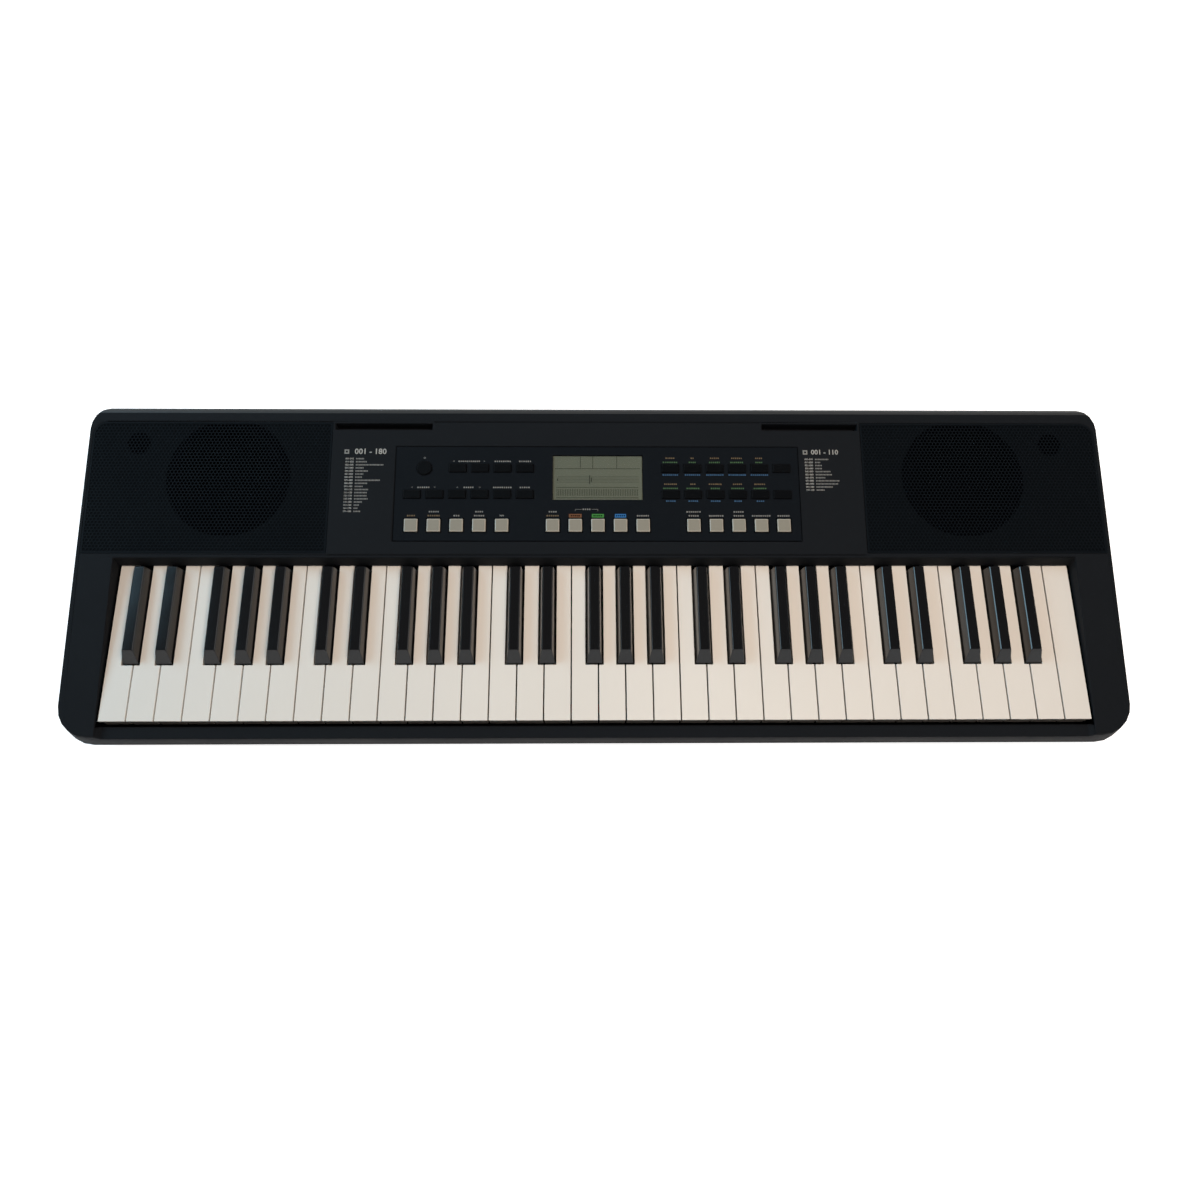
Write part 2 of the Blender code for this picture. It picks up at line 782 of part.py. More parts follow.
# Lower bosses stand on the floor under the upper ones, each with a deep hole for its screw
bm = bmesh.new()
for x, y in boss_places:
    add_cylinder(bm, (x, y, 0), boss_radius, floor_top - wall / 2, parting_height, boss_sides)
board_y = back_y - main_board_back_inset - main_board_length
board_x = ledge_half + bay_wall + main_board_bay_gap
post_places = [
    (board_x + along, board_y + across)
    for along in (post_inset, main_board_width - post_inset)
    for across in (post_inset, main_board_length - post_inset)
]
for x, y in post_places:
    add_cylinder(bm, (x, y, 0), post_radius, floor_top - wall / 2, main_board_height - fit_gap, 6)
for x in socket_posts:
    post_place = (x, socket_board_y + socket_reach / 2, 0)
    add_cylinder(bm, post_place, post_radius, floor_top - wall / 2, socket_board_low - fit_gap, 6)
combine(lower_case, make_object("lower_bosses", bm), "UNION")
screw_seat = parting_height - boss_cap
bm = bmesh.new()
for x, y in boss_places:
    add_cylinder(bm, (x, y, 0), boss_bore_radius, -reach, screw_seat, boss_sides)
combine(lower_case, make_object("boss_counterbores", bm))
bm = bmesh.new()
for x, y in boss_places:
    add_cylinder(
        bm, (x, y, 0), screw_radius + fit_gap, screw_seat - overlap, parting_height + reach, boss_sides
    )
combine(lower_case, make_object("boss_bores", bm))
foot_places = [
    ("foot_front_left", -case_width / 2 + foot_inset_x, front_y + foot_inset_front),
    ("foot_front_middle", 0, front_y + foot_inset_front),
    ("foot_front_right", case_width / 2 - foot_inset_x, front_y + foot_inset_front),
    ("foot_rear_left", -case_width / 2 + foot_inset_x, back_y - foot_inset_back),
    ("foot_rear_right", case_width / 2 - foot_inset_x, back_y - foot_inset_back),
]
foot_seat_top = case_bottom + foot_seat_depth
bm = bmesh.new()
for name, x, y in foot_places:
    add_cylinder(bm, (x, y, 0), foot_radius + fit_gap, -reach, foot_seat_top, foot_sides)
combine(lower_case, make_object("foot_seats", bm))
bm = bmesh.new()
door_low_y = bay_y - door_ledge
add_box(bm, (-ledge_half, door_low_y, -reach), (ledge_half, bay_end_y + door_ledge, ledge_top))
combine(lower_case, make_object("door_rebate", bm))
bm = bmesh.new()
add_box(bm, (-bay_half_width, bay_y, -reach), (bay_half_width, bay_end_y, bay_top))
combine(lower_case, make_object("bay_space", bm))

# Holes for the sockets
facing_back = Matrix.Rotation(-pi / 2, 4, "X")
bm = bmesh.new()
for name, along, outer, bore, half in sockets:
    place = (socket_board_x + along, back_y, socket_height)
    add_cylinder(bm, place, outer + fit_gap, -2 * socket_reach, reach, 12, facing_back)
usb_gap = usb_half_width + fit_gap
add_box(
    bm, (usb_x - usb_gap, back_y - 2 * socket_reach, socket_height - usb_half_height - fit_gap),
    (usb_x + usb_gap, back_y + reach, socket_height + usb_half_height + fit_gap),
)
combine(lower_case, make_object("socket_holes", bm))


# Panels let into the deck
bm = bmesh.new()
add_box(bm, (-panel_half_width, panel_front, -inlay_thickness), (panel_half_width, panel_back, 0))
control_panel = make_object("control_panel", bm, case_black, deck_frame)
combine(control_panel, button_holes)
combine(control_panel, panel_holes)

bm = bmesh.new()
add_box(
    bm, (-display_half_width, display_front, -window_thickness), (display_half_width, display_back, 0)
)
make_object("display_window", bm, window_clear, deck_frame)

display_top = -wall - fit_gap
border = display_half_width + display_border
bm = bmesh.new()
add_box(
    bm, (-border, display_front - display_border, display_top - display_module_depth),
    (border, display_back + display_border, display_top),
)
display_module = make_object("display_module", bm, display_grey, deck_frame)
glass_half = display_half_width - fit_gap
bm = bmesh.new()
add_box(
    bm, (-glass_half, display_front + fit_gap, display_top - overlap),
    (glass_half, display_back - fit_gap, -window_thickness - fit_gap),
)
combine(display_module, make_object("display_glass", bm, parent=deck_frame), "UNION")

for side, label in ((-1, "left"), (1, "right")):
    bm = bmesh.new()
    add_outline(bm, grille_outline(side, 0.0), -inlay_thickness, 0)
    grille = make_object("speaker_grille_" + label, bm, grille_black, deck_frame)
    bm = bmesh.new()
    row_pitch = grille_hole_pitch * cos(radians(30))
    rows = int(speaker_window_radius / row_pitch) + 1
    holes_reach = speaker_window_radius - grille_hole_radius - overlap
    for row in range(-rows, rows + 1):
        shift = grille_hole_pitch / 2 if row % 2 else 0
        for column in range(-rows, rows + 1):
            x = column * grille_hole_pitch + shift
            s = row * row_pitch
            if sqrt(x * x + s * s) < holes_reach:
                place = (side * speaker_x + x, speaker_s + s, 0)
                add_cylinder(bm, place, grille_hole_radius, -reach, reach, 6)
    for step in range(6):
        turn = radians(60 * step)
        along = cluster_ring_radius * cos(turn)
        across = cluster_ring_radius * sin(turn)
        place = (side * cluster_x + along, cluster_s + across, 0)
        add_cylinder(bm, place, cluster_hole_radius, -reach, reach, 6)
    combine(grille, make_object("grille_holes_" + label, bm, parent=deck_frame))

# Loudspeakers hang from the deck on the deck's own slope
speaker_low = magnet_height - speaker_depth
basket_floor = speaker_low + basket_wall
rim_radius = cone_radius + basket_rim
for side, label in ((-1, "left"), (1, "right")):
    place = (side * speaker_x, speaker_s, -wall - fit_gap)
    basket_profile = [
        (rim_radius, 0), (speaker_radius, 0), (speaker_radius, -basket_wall),
        (rim_radius, -1.6 * basket_wall), (basket_low_radius, speaker_low), (basket_throat, speaker_low),
        (basket_throat, basket_floor), (basket_low_radius - basket_wall, basket_floor),
        (rim_radius - basket_wall, -basket_wall / 2),
    ]
    basket_name = "speaker_basket_" + label
    basket = turned(basket_name, basket_profile, basket_black, speaker_sides, deck_frame, place)
    bm = bmesh.new()
    window_low = speaker_low + basket_window_foot
    for step in range(basket_window_count):
        verts = add_box(
            bm, (basket_window_inner, -basket_window_half_width, window_low),
            (basket_window_outer, basket_window_half_width, window_low + basket_window_height),
        )
        turn = Matrix.Rotation(2 * pi * (step + 0.5) / basket_window_count, 4, "Z")
        bmesh.ops.transform(bm, matrix=turn, verts=verts)
    windows = make_object("basket_windows_" + label, bm, parent=deck_frame)
    windows.location = place
    combine(basket, windows)
    smooth(basket)
    cone_low = basket_floor + cone_lift
    fold_radius = cone_radius - surround_width
    cone_profile = [
        (cone_radius, -cone_paper), (cone_radius, -2 * cone_paper), (fold_radius, -3 * cone_paper),
        (dust_cap_radius, cone_low), (0.0, cone_low + 3 * cone_paper), (0.0, cone_low + 4 * cone_paper),
        (dust_cap_radius, cone_low + cone_paper), (fold_radius - surround_width, -4 * cone_paper),
        (fold_radius, cone_paper / 3),
    ]
    cone = turned("speaker_cone_" + label, cone_profile, paper_black, speaker_sides, deck_frame, place)
    smooth(cone)
    bm = bmesh.new()
    magnet_top = speaker_low - fit_gap
    add_cylinder(bm, (0, 0, 0), magnet_radius, magnet_top - magnet_height, magnet_top, speaker_sides)
    magnet = make_object("speaker_magnet_" + label, bm, ferrite, deck_frame)
    magnet.location = place
    smooth(magnet)

# Push buttons: each row is one moulded strip, its caps standing up through the panel
for name, row, columns, (size_x, size_s), material in button_rows:
    bm = bmesh.new()
    for x in columns:
        low_x, high_x = x - size_x / 2, x + size_x / 2
        low_s, high_s = row - size_s / 2, row + size_s / 2
        edge = button_edge_chamfer
        add_loft(bm, [
            rectangle(low_x, high_x, low_s, high_s, button_foot - button_web_thickness / 2),
            rectangle(low_x, high_x, low_s, high_s, button_rise - edge),
            rectangle(low_x + edge, high_x - edge, low_s + edge, high_s - edge, button_rise),
        ])
    strip = make_object(name, bm, material, deck_frame, (sum(columns) / len(columns), row, 0))
    bm = bmesh.new()
    add_box(
        bm, (columns[0] - size_x / 2 - button_web_margin, row - size_s / 2 - button_web_margin,
             button_foot - button_web_thickness),
        (columns[-1] + size_x / 2 + button_web_margin, row + size_s / 2 + button_web_margin, button_foot),
    )
    combine(strip, make_object(name + "_web", bm, parent=deck_frame), "UNION")

power_top = button_rise - button_edge_chamfer
power_flange = power_button_radius + button_web_margin
power_profile = [
    (0, button_rise), (power_button_radius - button_edge_chamfer, button_rise),
    (power_button_radius, power_top), (power_button_radius, button_foot),
    (power_flange, button_foot), (power_flange, flange_foot), (0, flange_foot),
]
power_button = turned("power_button", power_profile, button_dark, 16, deck_frame, power_place)

# One rubber mat under the strips, and the board that carries the button contacts
mat_half = button_outer_x + dark_button_width
mat_front = lower_row_s - light_button_size
mat_back = upper_row_s + dark_button_width / 2
bm = bmesh.new()
add_box(bm, (-mat_half, mat_front, mat_foot - mat_thickness), (mat_half, mat_back, mat_foot))
button_mat = make_object("button_mat", bm, rubber_grey, deck_frame)
bm = bmesh.new()
for name, row, columns, (size_x, size_s), material in button_rows:
    add_box(
        bm, (columns[0] - size_x / 2, row - size_s / 3, mat_foot - mat_thickness / 2),
        (columns[-1] + size_x / 2, row + size_s / 3, mat_top),
    )
add_cylinder(bm, power_place, power_button_radius / 2, mat_foot - mat_thickness / 2, mat_top, 8)
combine(button_mat, make_object("mat_ridges", bm, parent=deck_frame), "UNION")
bm = bmesh.new()
module_margin = display_border + display_module_gap
module_half = display_half_width + module_margin
add_box(
    bm, (-module_half, display_front - module_margin, -reach),
    (module_half, display_back + module_margin, 0),
)
module_space = make_object("module_space", bm, parent=deck_frame)
combine(button_mat, module_space)
bm = bmesh.new()
for x, s in panel_posts:
    add_cylinder(bm, (x, s, 0), panel_post_radius + 2 * fit_gap, -reach, 0, 6)
combine(button_mat, make_object("mat_post_holes", bm, parent=deck_frame))

bm = bmesh.new()
board_half = mat_half + panel_board_margin
add_box(
    bm, (-board_half, mat_front - panel_board_edge, panel_board_low),
    (board_half, mat_back + panel_board_edge, panel_board_top),
)
panel_board = make_object("panel_board", bm, board_green, deck_frame)
combine(panel_board, module_space)

# Keys: each comb is one moulding, its keys' tongues rooted in a common bar;
# the origin is on the middle line of the bar, about which the keys flex
black_offsets = {0: -0.0025, 1: 0.0025, 3: -0.0033, 4: 0.0, 5: 0.0033}
key_end_y = fascia_y + key_body_past_fascia
bar_front = hinge_y - bar_depth / 2
side_foot = key_top_height - white_side_height
black_foot = key_top_height - black_skirt


def black_centre(index):
    """Middle of the black key that follows white key number index."""
    return key_left + (index + 1) * white_pitch + black_offsets[index % 7]


def has_black(index):
    return index % 7 in black_offsets and 0 <= index < white_count - 1


def white_outline(index, inset, front):
    """Plan of a white key: wide head, then the neck left between the black keys."""
    left = key_left + index * white_pitch + key_gap / 2 + inset
    right = key_left + (index + 1) * white_pitch - key_gap / 2 - inset
    notch = black_base_width / 2 + black_side_clearance + inset
    neck_left = black_centre(index - 1) + notch if has_black(index - 1) else left
    neck_right = black_centre(index) - notch if has_black(index) else right
    shoulder_y = key_y + white_head_length - black_side_clearance - inset
    end_y = key_end_y - inset
    points = [(left, front), (right, front)]
    if has_black(index):
        points += [(right, shoulder_y), (neck_right, shoulder_y)]
    points += [(neck_right, end_y), (neck_left, end_y)]
    if has_black(index - 1):
        points += [(neck_left, shoulder_y), (left, shoulder_y)]
    return points


def neck_middle(index):
    xs = [x for x, y in white_outline(index, 0.0, key_y)[2:] if y > key_y + white_head_length]
    return sum(xs) / len(xs)


def add_bar(comb, name, low_x, high_x, hinge_z):
    bm = bmesh.new()
    half = bar_thickness / 2
    add_box(bm, (low_x, bar_front, hinge_z - half), (high_x, bar_front + bar_depth, hinge_z + half))
    combine(comb, make_object(name + "_bar", bm), "UNION")


def make_white_comb(name, keys, bar_keys, hinge_z):
    """White keys, number bar_keys[0] to bar_keys[1] wide at their bar."""
    low_x = key_left + bar_keys[0] * white_pitch
    high_x = key_left + (bar_keys[1] + 1) * white_pitch
    bm = bmesh.new()
    for index in keys:
        add_outline(bm, white_outline(index, 0.0, key_y), key_underside, key_top_height)
    comb = make_object(name, bm, key_white, None, (0, hinge_y, hinge_z))
    skirt_back = key_y + guide_setback
    wedge = [
        (skirt_back, key_underside - overlap), (skirt_back + white_side_height, side_foot),
        (hinge_y, side_foot), (hinge_y, key_underside - overlap),
    ]
    bm = bmesh.new()
    add_outline(bm, wedge, low_x, high_x, "YZ")
    add_box(
        bm, (low_x, key_y - overlap, key_underside - overlap),
        (high_x, key_y + white_lip_reach, key_top_height - white_lip_height),
    )
    combine(comb, make_object(name + "_underside", bm))
    bm = bmesh.new()
    for index in keys:
        points = white_outline(index, key_wall, key_y + white_lip_reach + key_wall)
        add_outline(bm, points, key_underside - overlap, key_top_height - key_top_thickness)
    combine(comb, make_object(name + "_hollows", bm))
    bm = bmesh.new()
    web_y = key_end_y - web_thickness
    low = hinge_z - tongue_thickness / 2
    high = hinge_z + tongue_thickness / 2
    tongue_points = [
        (bar_front + bar_depth / 2, low), (bar_front + bar_depth / 2, high), (key_end_y - fit_gap, high),
        (key_end_y - fit_gap, key_top_height - key_top_thickness / 2),
        (web_y, key_top_height - key_top_thickness / 2), (web_y, low),
    ]
    for index in keys:
        middle = neck_middle(index)
        add_outline(bm, tongue_points, middle - tongue_width / 2, middle + tongue_width / 2, "YZ")
    combine(comb, make_object(name + "_tongues", bm), "UNION")
    add_bar(comb, name, low_x + bar_end_gap / 2, high_x - bar_end_gap / 2, hinge_z)


def make_black_comb(name, keys, bar_keys, hinge_z):
    top_z = key_top_height + black_rise
    front = key_y + white_head_length
    back = fascia_y - black_back_clearance
    wide, narrow = black_base_width / 2, black_top_width / 2
    edge = black_edge_chamfer
    slope = black_front_slope
    bm = bmesh.new()
    for index in keys:
        x = black_centre(index)
        add_loft(bm, [
            rectangle(x - wide, x + wide, front, back, black_foot),
            rectangle(x - wide, x + wide, front, back, key_top_height),
            rectangle(x - narrow, x + narrow, front + slope - edge / 2, back, top_z - edge),
            rectangle(x - narrow + edge, x + narrow - edge, front + slope + edge, back - edge, top_z),
        ])
    comb = make_object(name, bm, key_black, None, (0, hinge_y, hinge_z))
    bm = bmesh.new()
    for index in keys:
        x = black_centre(index)
        half = narrow - key_wall / 2
        add_box(
            bm, (x - half, front + slope, black_foot - overlap),
            (x + half, back - key_wall, top_z - black_rise / 2),
        )
    combine(comb, make_object(name + "_hollows", bm))
    bm = bmesh.new()
    low = hinge_z - tongue_thickness / 2
    high = hinge_z + tongue_thickness / 2
    arm_top = black_foot + key_wall
    arm_points = [
        (back - key_wall, low), (hinge_y, low), (hinge_y, high), (key_end_y, high),
        (key_end_y - black_arm_slope, arm_top), (back - key_wall, arm_top),
    ]
    for index in keys:
        x = black_centre(index)
        add_outline(bm, arm_points, x - tongue_width / 2, x + tongue_width / 2, "YZ")
    combine(comb, make_object(name + "_arms", bm), "UNION")
    low_x = key_left + bar_keys[0] * white_pitch
    high_x = key_left + (bar_keys[1] + 1) * white_pitch
    add_bar(comb, name, low_x + bar_end_gap / 2, high_x - bar_end_gap / 2, hinge_z)


for octave in range(octaves):
    first = 7 * octave
    label = str(octave + 1)
    span = (first, first + 6)
    make_white_comb("keys_c_e_g_b_" + label, [first + i for i in (0, 2, 4, 6)], span, c_e_g_b_hinge_z)
    make_white_comb("keys_d_f_a_" + label, [first + i for i in (1, 3, 5)], span, d_f_a_hinge_z)
    make_black_comb("keys_black_" + label, [first + i for i in black_offsets], span, black_hinge_z)
make_white_comb("key_top_c", [white_count - 1], (white_count - 1, white_count - 1), c_e_g_b_hinge_z)

# Chassis: a channel across the tub, a raised step under the bars, a guide post per white key
# and a packing block under the top C's bar
chassis_foot = floor_top + chassis_leg_clearance
step_front = key_end_y + chassis_step_clearance
chassis_back = bar_front + bar_depth + overlap
inner_top = chassis_top_height - chassis_thickness
chassis_points = [
    (chassis_y, chassis_foot), (chassis_y, chassis_top_height), (step_front, chassis_top_height),
    (step_front, bar_platform_height), (chassis_back, bar_platform_height), (chassis_back, chassis_foot),
    (chassis_back - chassis_thickness, chassis_foot),
    (chassis_back - chassis_thickness, bar_platform_height - chassis_thickness),
    (step_front + chassis_thickness, bar_platform_height - chassis_thickness),
    (step_front + chassis_thickness, inner_top), (chassis_y + chassis_thickness, inner_top),
    (chassis_y + chassis_thickness, chassis_foot),
]
chassis_half = key_span / 2
bm = bmesh.new()
add_outline(bm, chassis_points, -chassis_half, chassis_half, "YZ")
chassis = make_object("keybed_chassis", bm, chassis_grey)
guide_y = key_y + guide_setback
guide_drop = key_dip * (hinge_y - guide_y) / hinge_radius
guide_top = key_top_height - key_top_thickness - guide_drop - guide_clearance
bm = bmesh.new()
for index in range(white_count):
    x = key_left + (index + 0.5) * white_pitch
    add_box(
        bm, (x - guide_width / 2, guide_y, chassis_top_height - chassis_thickness / 2),
        (x + guide_width / 2, guide_y + guide_depth, guide_top),
    )
block_x = key_left + (white_count - 1) * white_pitch
block_top = c_e_g_b_hinge_z - bar_thickness / 2 - bar_gap
add_box(
    bm, (block_x + bar_end_gap / 2, bar_front, bar_platform_height - chassis_thickness / 2),
    (block_x + white_pitch - bar_end_gap / 2, bar_front + bar_depth, block_top),
)
for octave in range(octaves + 1):
    x = key_left + (7 * octave + 0.5) * white_pitch
    half = chassis_rib_thickness / 2
    bite = chassis_thickness / 2
    rib_low = (x - half, chassis_y + bite, chassis_foot + overlap)
    add_box(bm, rib_low, (x + half, step_front + bite, inner_top + bite))
combine(chassis, make_object("guide_posts", bm), "UNION")

# Felt under the key fronts, contact board and its rubber strip
bm = bmesh.new()
felt_y = chassis_y + felt_setback
felt_low = chassis_top_height + fit_gap
strip_half = chassis_half - strip_end_gap
add_box(bm, (-strip_half, felt_y, felt_low), (strip_half, felt_y + felt_width, felt_low + felt_thickness))
make_object("key_stop_felt", bm, felt_red)
contact_y = key_y + contact_board_setback
contact_board_low = chassis_top_height + fit_gap
contact_board_top = contact_board_low + board_thickness
bm = bmesh.new()
add_box(
    bm, (-strip_half, contact_y, contact_board_low),
    (strip_half, contact_y + contact_board_width, contact_board_top),
)
make_object("key_contact_board", bm, board_green)
rubber_low = contact_board_top + fit_gap
rubber_y = contact_y + contact_board_width / 2
rubber_waist = rubber_low + rubber_base
rubber_crown = rubber_low + rubber_height
rubber_points = [
    (rubber_y - rubber_foot_half, rubber_low), (rubber_y + rubber_foot_half, rubber_low),
    (rubber_y + rubber_foot_half, rubber_waist), (rubber_y + rubber_waist_half, rubber_waist),
    (rubber_y + rubber_crown_half, rubber_crown), (rubber_y - rubber_crown_half, rubber_crown),
    (rubber_y - rubber_waist_half, rubber_waist), (rubber_y - rubber_foot_half, rubber_waist),
]
bm = bmesh.new()
add_outline(bm, rubber_points, -strip_half, strip_half, "YZ")
make_object("key_contact_rubber", bm, rubber_grey)

# Main board on its posts beside the battery bay, and the flat ribbon up to the panel board
bm = bmesh.new()
add_box(
    bm, (board_x, board_y, main_board_height),
    (board_x + main_board_width, board_y + main_board_length, main_board_height + board_thickness),
)
make_object("main_board", bm, board_green)
ribbon_x = board_x + main_board_width / 2
ribbon_y = board_y + ribbon_inset
ribbon_low = main_board_height + board_thickness + fit_gap
ribbon_high = deck_z(ribbon_y) + panel_board_low / cos(deck_angle) - 2 * fit_gap
bm = bmesh.new()
add_box(
    bm, (ribbon_x - ribbon_width / 2, ribbon_y, ribbon_low),
    (ribbon_x + ribbon_width / 2, ribbon_y + ribbon_thickness, ribbon_high),
)
make_object("panel_ribbon", bm, ribbon_ivory)

# Sockets on their own board, their noses through the rear wall
socket_board_top = socket_board_low + board_thickness
bm = bmesh.new()
add_box(
    bm, (socket_board_x, socket_board_y, socket_board_low),
    (socket_board_end_x, socket_board_y + socket_reach, socket_board_top),
)
make_object("socket_board", bm, board_green)
nose_end = socket_face_y + fit_gap
for name, along, outer, bore, half in sockets:
    x = socket_board_x + along
    bm = bmesh.new()
    add_box(
        bm, (x - half, socket_board_y, socket_board_top + fit_gap),
        (x + half, socket_board_y + socket_reach, socket_height + half),
    )
    socket = make_object(name, bm, rubber_black)
    axis_place = (x, nose_end, socket_height)
    bm = bmesh.new()
    add_cylinder(bm, axis_place, outer, socket_body_end - wall / 2 - nose_end, 0, 12, facing_back)
    combine(socket, make_object(name + "_nose", bm), "UNION")
    bm = bmesh.new()
    add_cylinder(bm, axis_place, bore, -socket_reach, reach, 12, facing_back)
    combine(socket, make_object(name + "_bore", bm))
bm = bmesh.new()
add_box(
    bm, (usb_x - usb_half_width, socket_board_y, socket_board_top + fit_gap),
    (usb_x + usb_half_width, nose_end, socket_height + usb_half_height),
)
usb = make_object("usb_socket", bm, steel)
bm = bmesh.new()
usb_inner_half = usb_half_width - usb_shell
usb_inner_height = usb_half_height - usb_shell
add_box(
    bm, (usb_x - usb_inner_half, nose_end - socket_reach, socket_height - usb_inner_height),
    (usb_x + usb_inner_half, nose_end + reach, socket_height + usb_inner_height),
)
combine(usb, make_object("usb_space", bm))

# Battery door, hinged along its front lower edge, and the two end contacts in the bay
door_y = door_low_y + door_clearance
door_half = ledge_half - door_clearance
door_end = bay_end_y + door_ledge - door_clearance
bm = bmesh.new()
add_box(bm, (-door_half, door_y, case_bottom), (door_half, door_end, case_bottom + door_thickness))
battery_door = make_object("battery_door", bm, case_black, None, (0, door_y, case_bottom))
bm = bmesh.new()
grip_end = door_end - door_ledge
add_box(
    bm, (-door_grip_half_width, grip_end - door_grip_length, case_bottom - overlap),
    (door_grip_half_width, grip_end, case_bottom + door_grip_depth),
)
combine(battery_door, make_object("door_grip", bm))
contact_top = bay_top - contact_top_gap
contact_end = bay_end_y - fit_gap
for side, label in ((-1, "minus"), (1, "plus")):
    x = side * (bay_half_width - contact_width / 2 - contact_side_gap)
    bm = bmesh.new()
    add_box(
        bm, (x - contact_width / 2, contact_end - contact_thickness, contact_top - contact_height),
        (x + contact_width / 2, contact_end, contact_top),
    )
    make_object("battery_contact_" + label, bm, steel)

# Feet, each pressed into its shallow seat
for name, x, y in foot_places:
    bm = bmesh.new()
    add_cylinder(bm, (x, y, 0), foot_radius, 0, foot_seat_top - fit_gap, foot_sides)
    smooth(make_object(name, bm, rubber_black))
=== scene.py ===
"""Portable keyboard with 61 keys, dressed for rendering.

Everything is in metres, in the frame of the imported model: X along the keys, +Y to the back, +Z up.
"""
import json
from math import atan2, cos, pi, radians, sin

import bmesh
import bpy
from mathutils import Matrix, Vector


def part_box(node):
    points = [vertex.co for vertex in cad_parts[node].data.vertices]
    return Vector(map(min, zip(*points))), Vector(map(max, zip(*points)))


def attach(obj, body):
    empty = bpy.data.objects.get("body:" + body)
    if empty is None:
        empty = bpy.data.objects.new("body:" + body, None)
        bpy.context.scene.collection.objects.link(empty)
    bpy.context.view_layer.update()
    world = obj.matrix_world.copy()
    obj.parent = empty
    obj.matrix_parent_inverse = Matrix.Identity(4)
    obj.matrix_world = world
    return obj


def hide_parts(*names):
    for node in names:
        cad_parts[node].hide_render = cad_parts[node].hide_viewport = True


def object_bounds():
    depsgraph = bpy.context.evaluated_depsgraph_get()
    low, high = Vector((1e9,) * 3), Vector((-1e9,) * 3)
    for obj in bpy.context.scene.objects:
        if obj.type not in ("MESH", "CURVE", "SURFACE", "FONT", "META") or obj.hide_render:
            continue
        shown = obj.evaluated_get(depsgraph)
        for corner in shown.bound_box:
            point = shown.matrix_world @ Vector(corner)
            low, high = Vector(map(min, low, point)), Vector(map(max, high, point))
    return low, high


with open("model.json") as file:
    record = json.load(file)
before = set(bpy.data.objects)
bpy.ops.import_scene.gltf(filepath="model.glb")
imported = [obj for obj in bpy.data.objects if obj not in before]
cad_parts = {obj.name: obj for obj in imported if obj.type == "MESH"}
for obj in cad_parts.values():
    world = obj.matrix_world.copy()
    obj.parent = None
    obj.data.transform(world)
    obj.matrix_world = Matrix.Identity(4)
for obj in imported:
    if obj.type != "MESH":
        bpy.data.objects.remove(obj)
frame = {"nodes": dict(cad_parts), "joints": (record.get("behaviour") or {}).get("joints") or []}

cad_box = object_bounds()


# Case shells
# Two injection-moulded ABS halves meet at a thin line round the case and are screwed together
# from below. The tools were spark-eroded, so the faces have a fine grain and only a soft sheen.
# The rounded rear rim, which faces up and back, is painted a lighter grey: a painted highlight.
case_hex = "#17191c"
case_edge = 0.0007
case_grain = 0.0007
painted_highlight_start_y = 0.1425


def linear(code):
    """An sRGB hex colour as linear red, green, blue and full alpha."""
    parts = [int(code[i:i + 2], 16) / 255 for i in (1, 3, 5)]
    return [part / 12.92 if part <= 0.04045 else ((part + 0.055) / 1.055) ** 2.4 for part in parts] + [1.0]


def add(tree, kind, inputs=None, **settings):
    """Adds a node with its settings; an input is a value, or another node's output to link."""
    node = tree.nodes.new(kind)
    for key, value in settings.items():
        setattr(node, key, value)
    for key, value in (inputs or {}).items():
        if isinstance(value, bpy.types.NodeSocket):
            tree.links.new(value, node.inputs[key])
        else:
            node.inputs[key].default_value = value
    return node


def moulded(name, code, roughness, grain, relief, contrast=0.12, specular=0.5):
    """A moulded plastic or rubber: even colour, the tool's grain as relief, faint handling marks."""
    # A real tool's grain is about a tenth of a millimetre wide, and is drawn coarser here to show.
    material = bpy.data.materials.new(name)
    material.use_nodes = True
    tree = material.node_tree
    shader = tree.nodes["Principled BSDF"]
    place = add(tree, "ShaderNodeTexCoord").outputs["Object"]
    fine = add(tree, "ShaderNodeTexNoise", {"Vector": place, "Scale": 1 / grain, "Detail": 3.0})
    broad = add(tree, "ShaderNodeTexNoise", {"Vector": place, "Scale": 14.0, "Detail": 4.0})
    colour = linear(code)
    darker = [part * (1 - contrast) for part in colour[:3]] + [1.0]
    lighter = [min(1.0, part * (1 + contrast)) for part in colour[:3]] + [1.0]
    ramp = add(tree, "ShaderNodeMix", {0: broad.outputs["Fac"], 6: darker, 7: lighter}, data_type="RGBA")
    tree.links.new(ramp.outputs[2], shader.inputs["Base Color"])
    spread = add(tree, "ShaderNodeMapRange", {
        "Value": broad.outputs["Fac"], "From Min": 0.3, "From Max": 0.7,
        "To Min": max(0.02, roughness - 0.05), "To Max": min(1.0, roughness + 0.05)})
    tree.links.new(spread.outputs["Result"], shader.inputs["Roughness"])
    bump = add(tree, "ShaderNodeBump", {"Height": fine.outputs["Fac"], "Strength": 0.35, "Distance": relief})
    tree.links.new(bump.outputs["Normal"], shader.inputs["Normal"])
    shader.inputs["IOR"].default_value = 1.5
    shader.inputs["Specular IOR Level"].default_value = specular
    return material


def link(piece):
    bpy.context.scene.collection.objects.link(piece)
    return piece


def plain_mesh(carrier, name):
    """The carrier's evaluated shape as a new object without modifiers; the carrier goes."""
    depsgraph = bpy.context.evaluated_depsgraph_get()
    mesh = bpy.data.meshes.new_from_object(carrier.evaluated_get(depsgraph))
    mesh.name = name
    bpy.data.objects.remove(carrier, do_unlink=True)
    return link(bpy.data.objects.new(name, mesh))


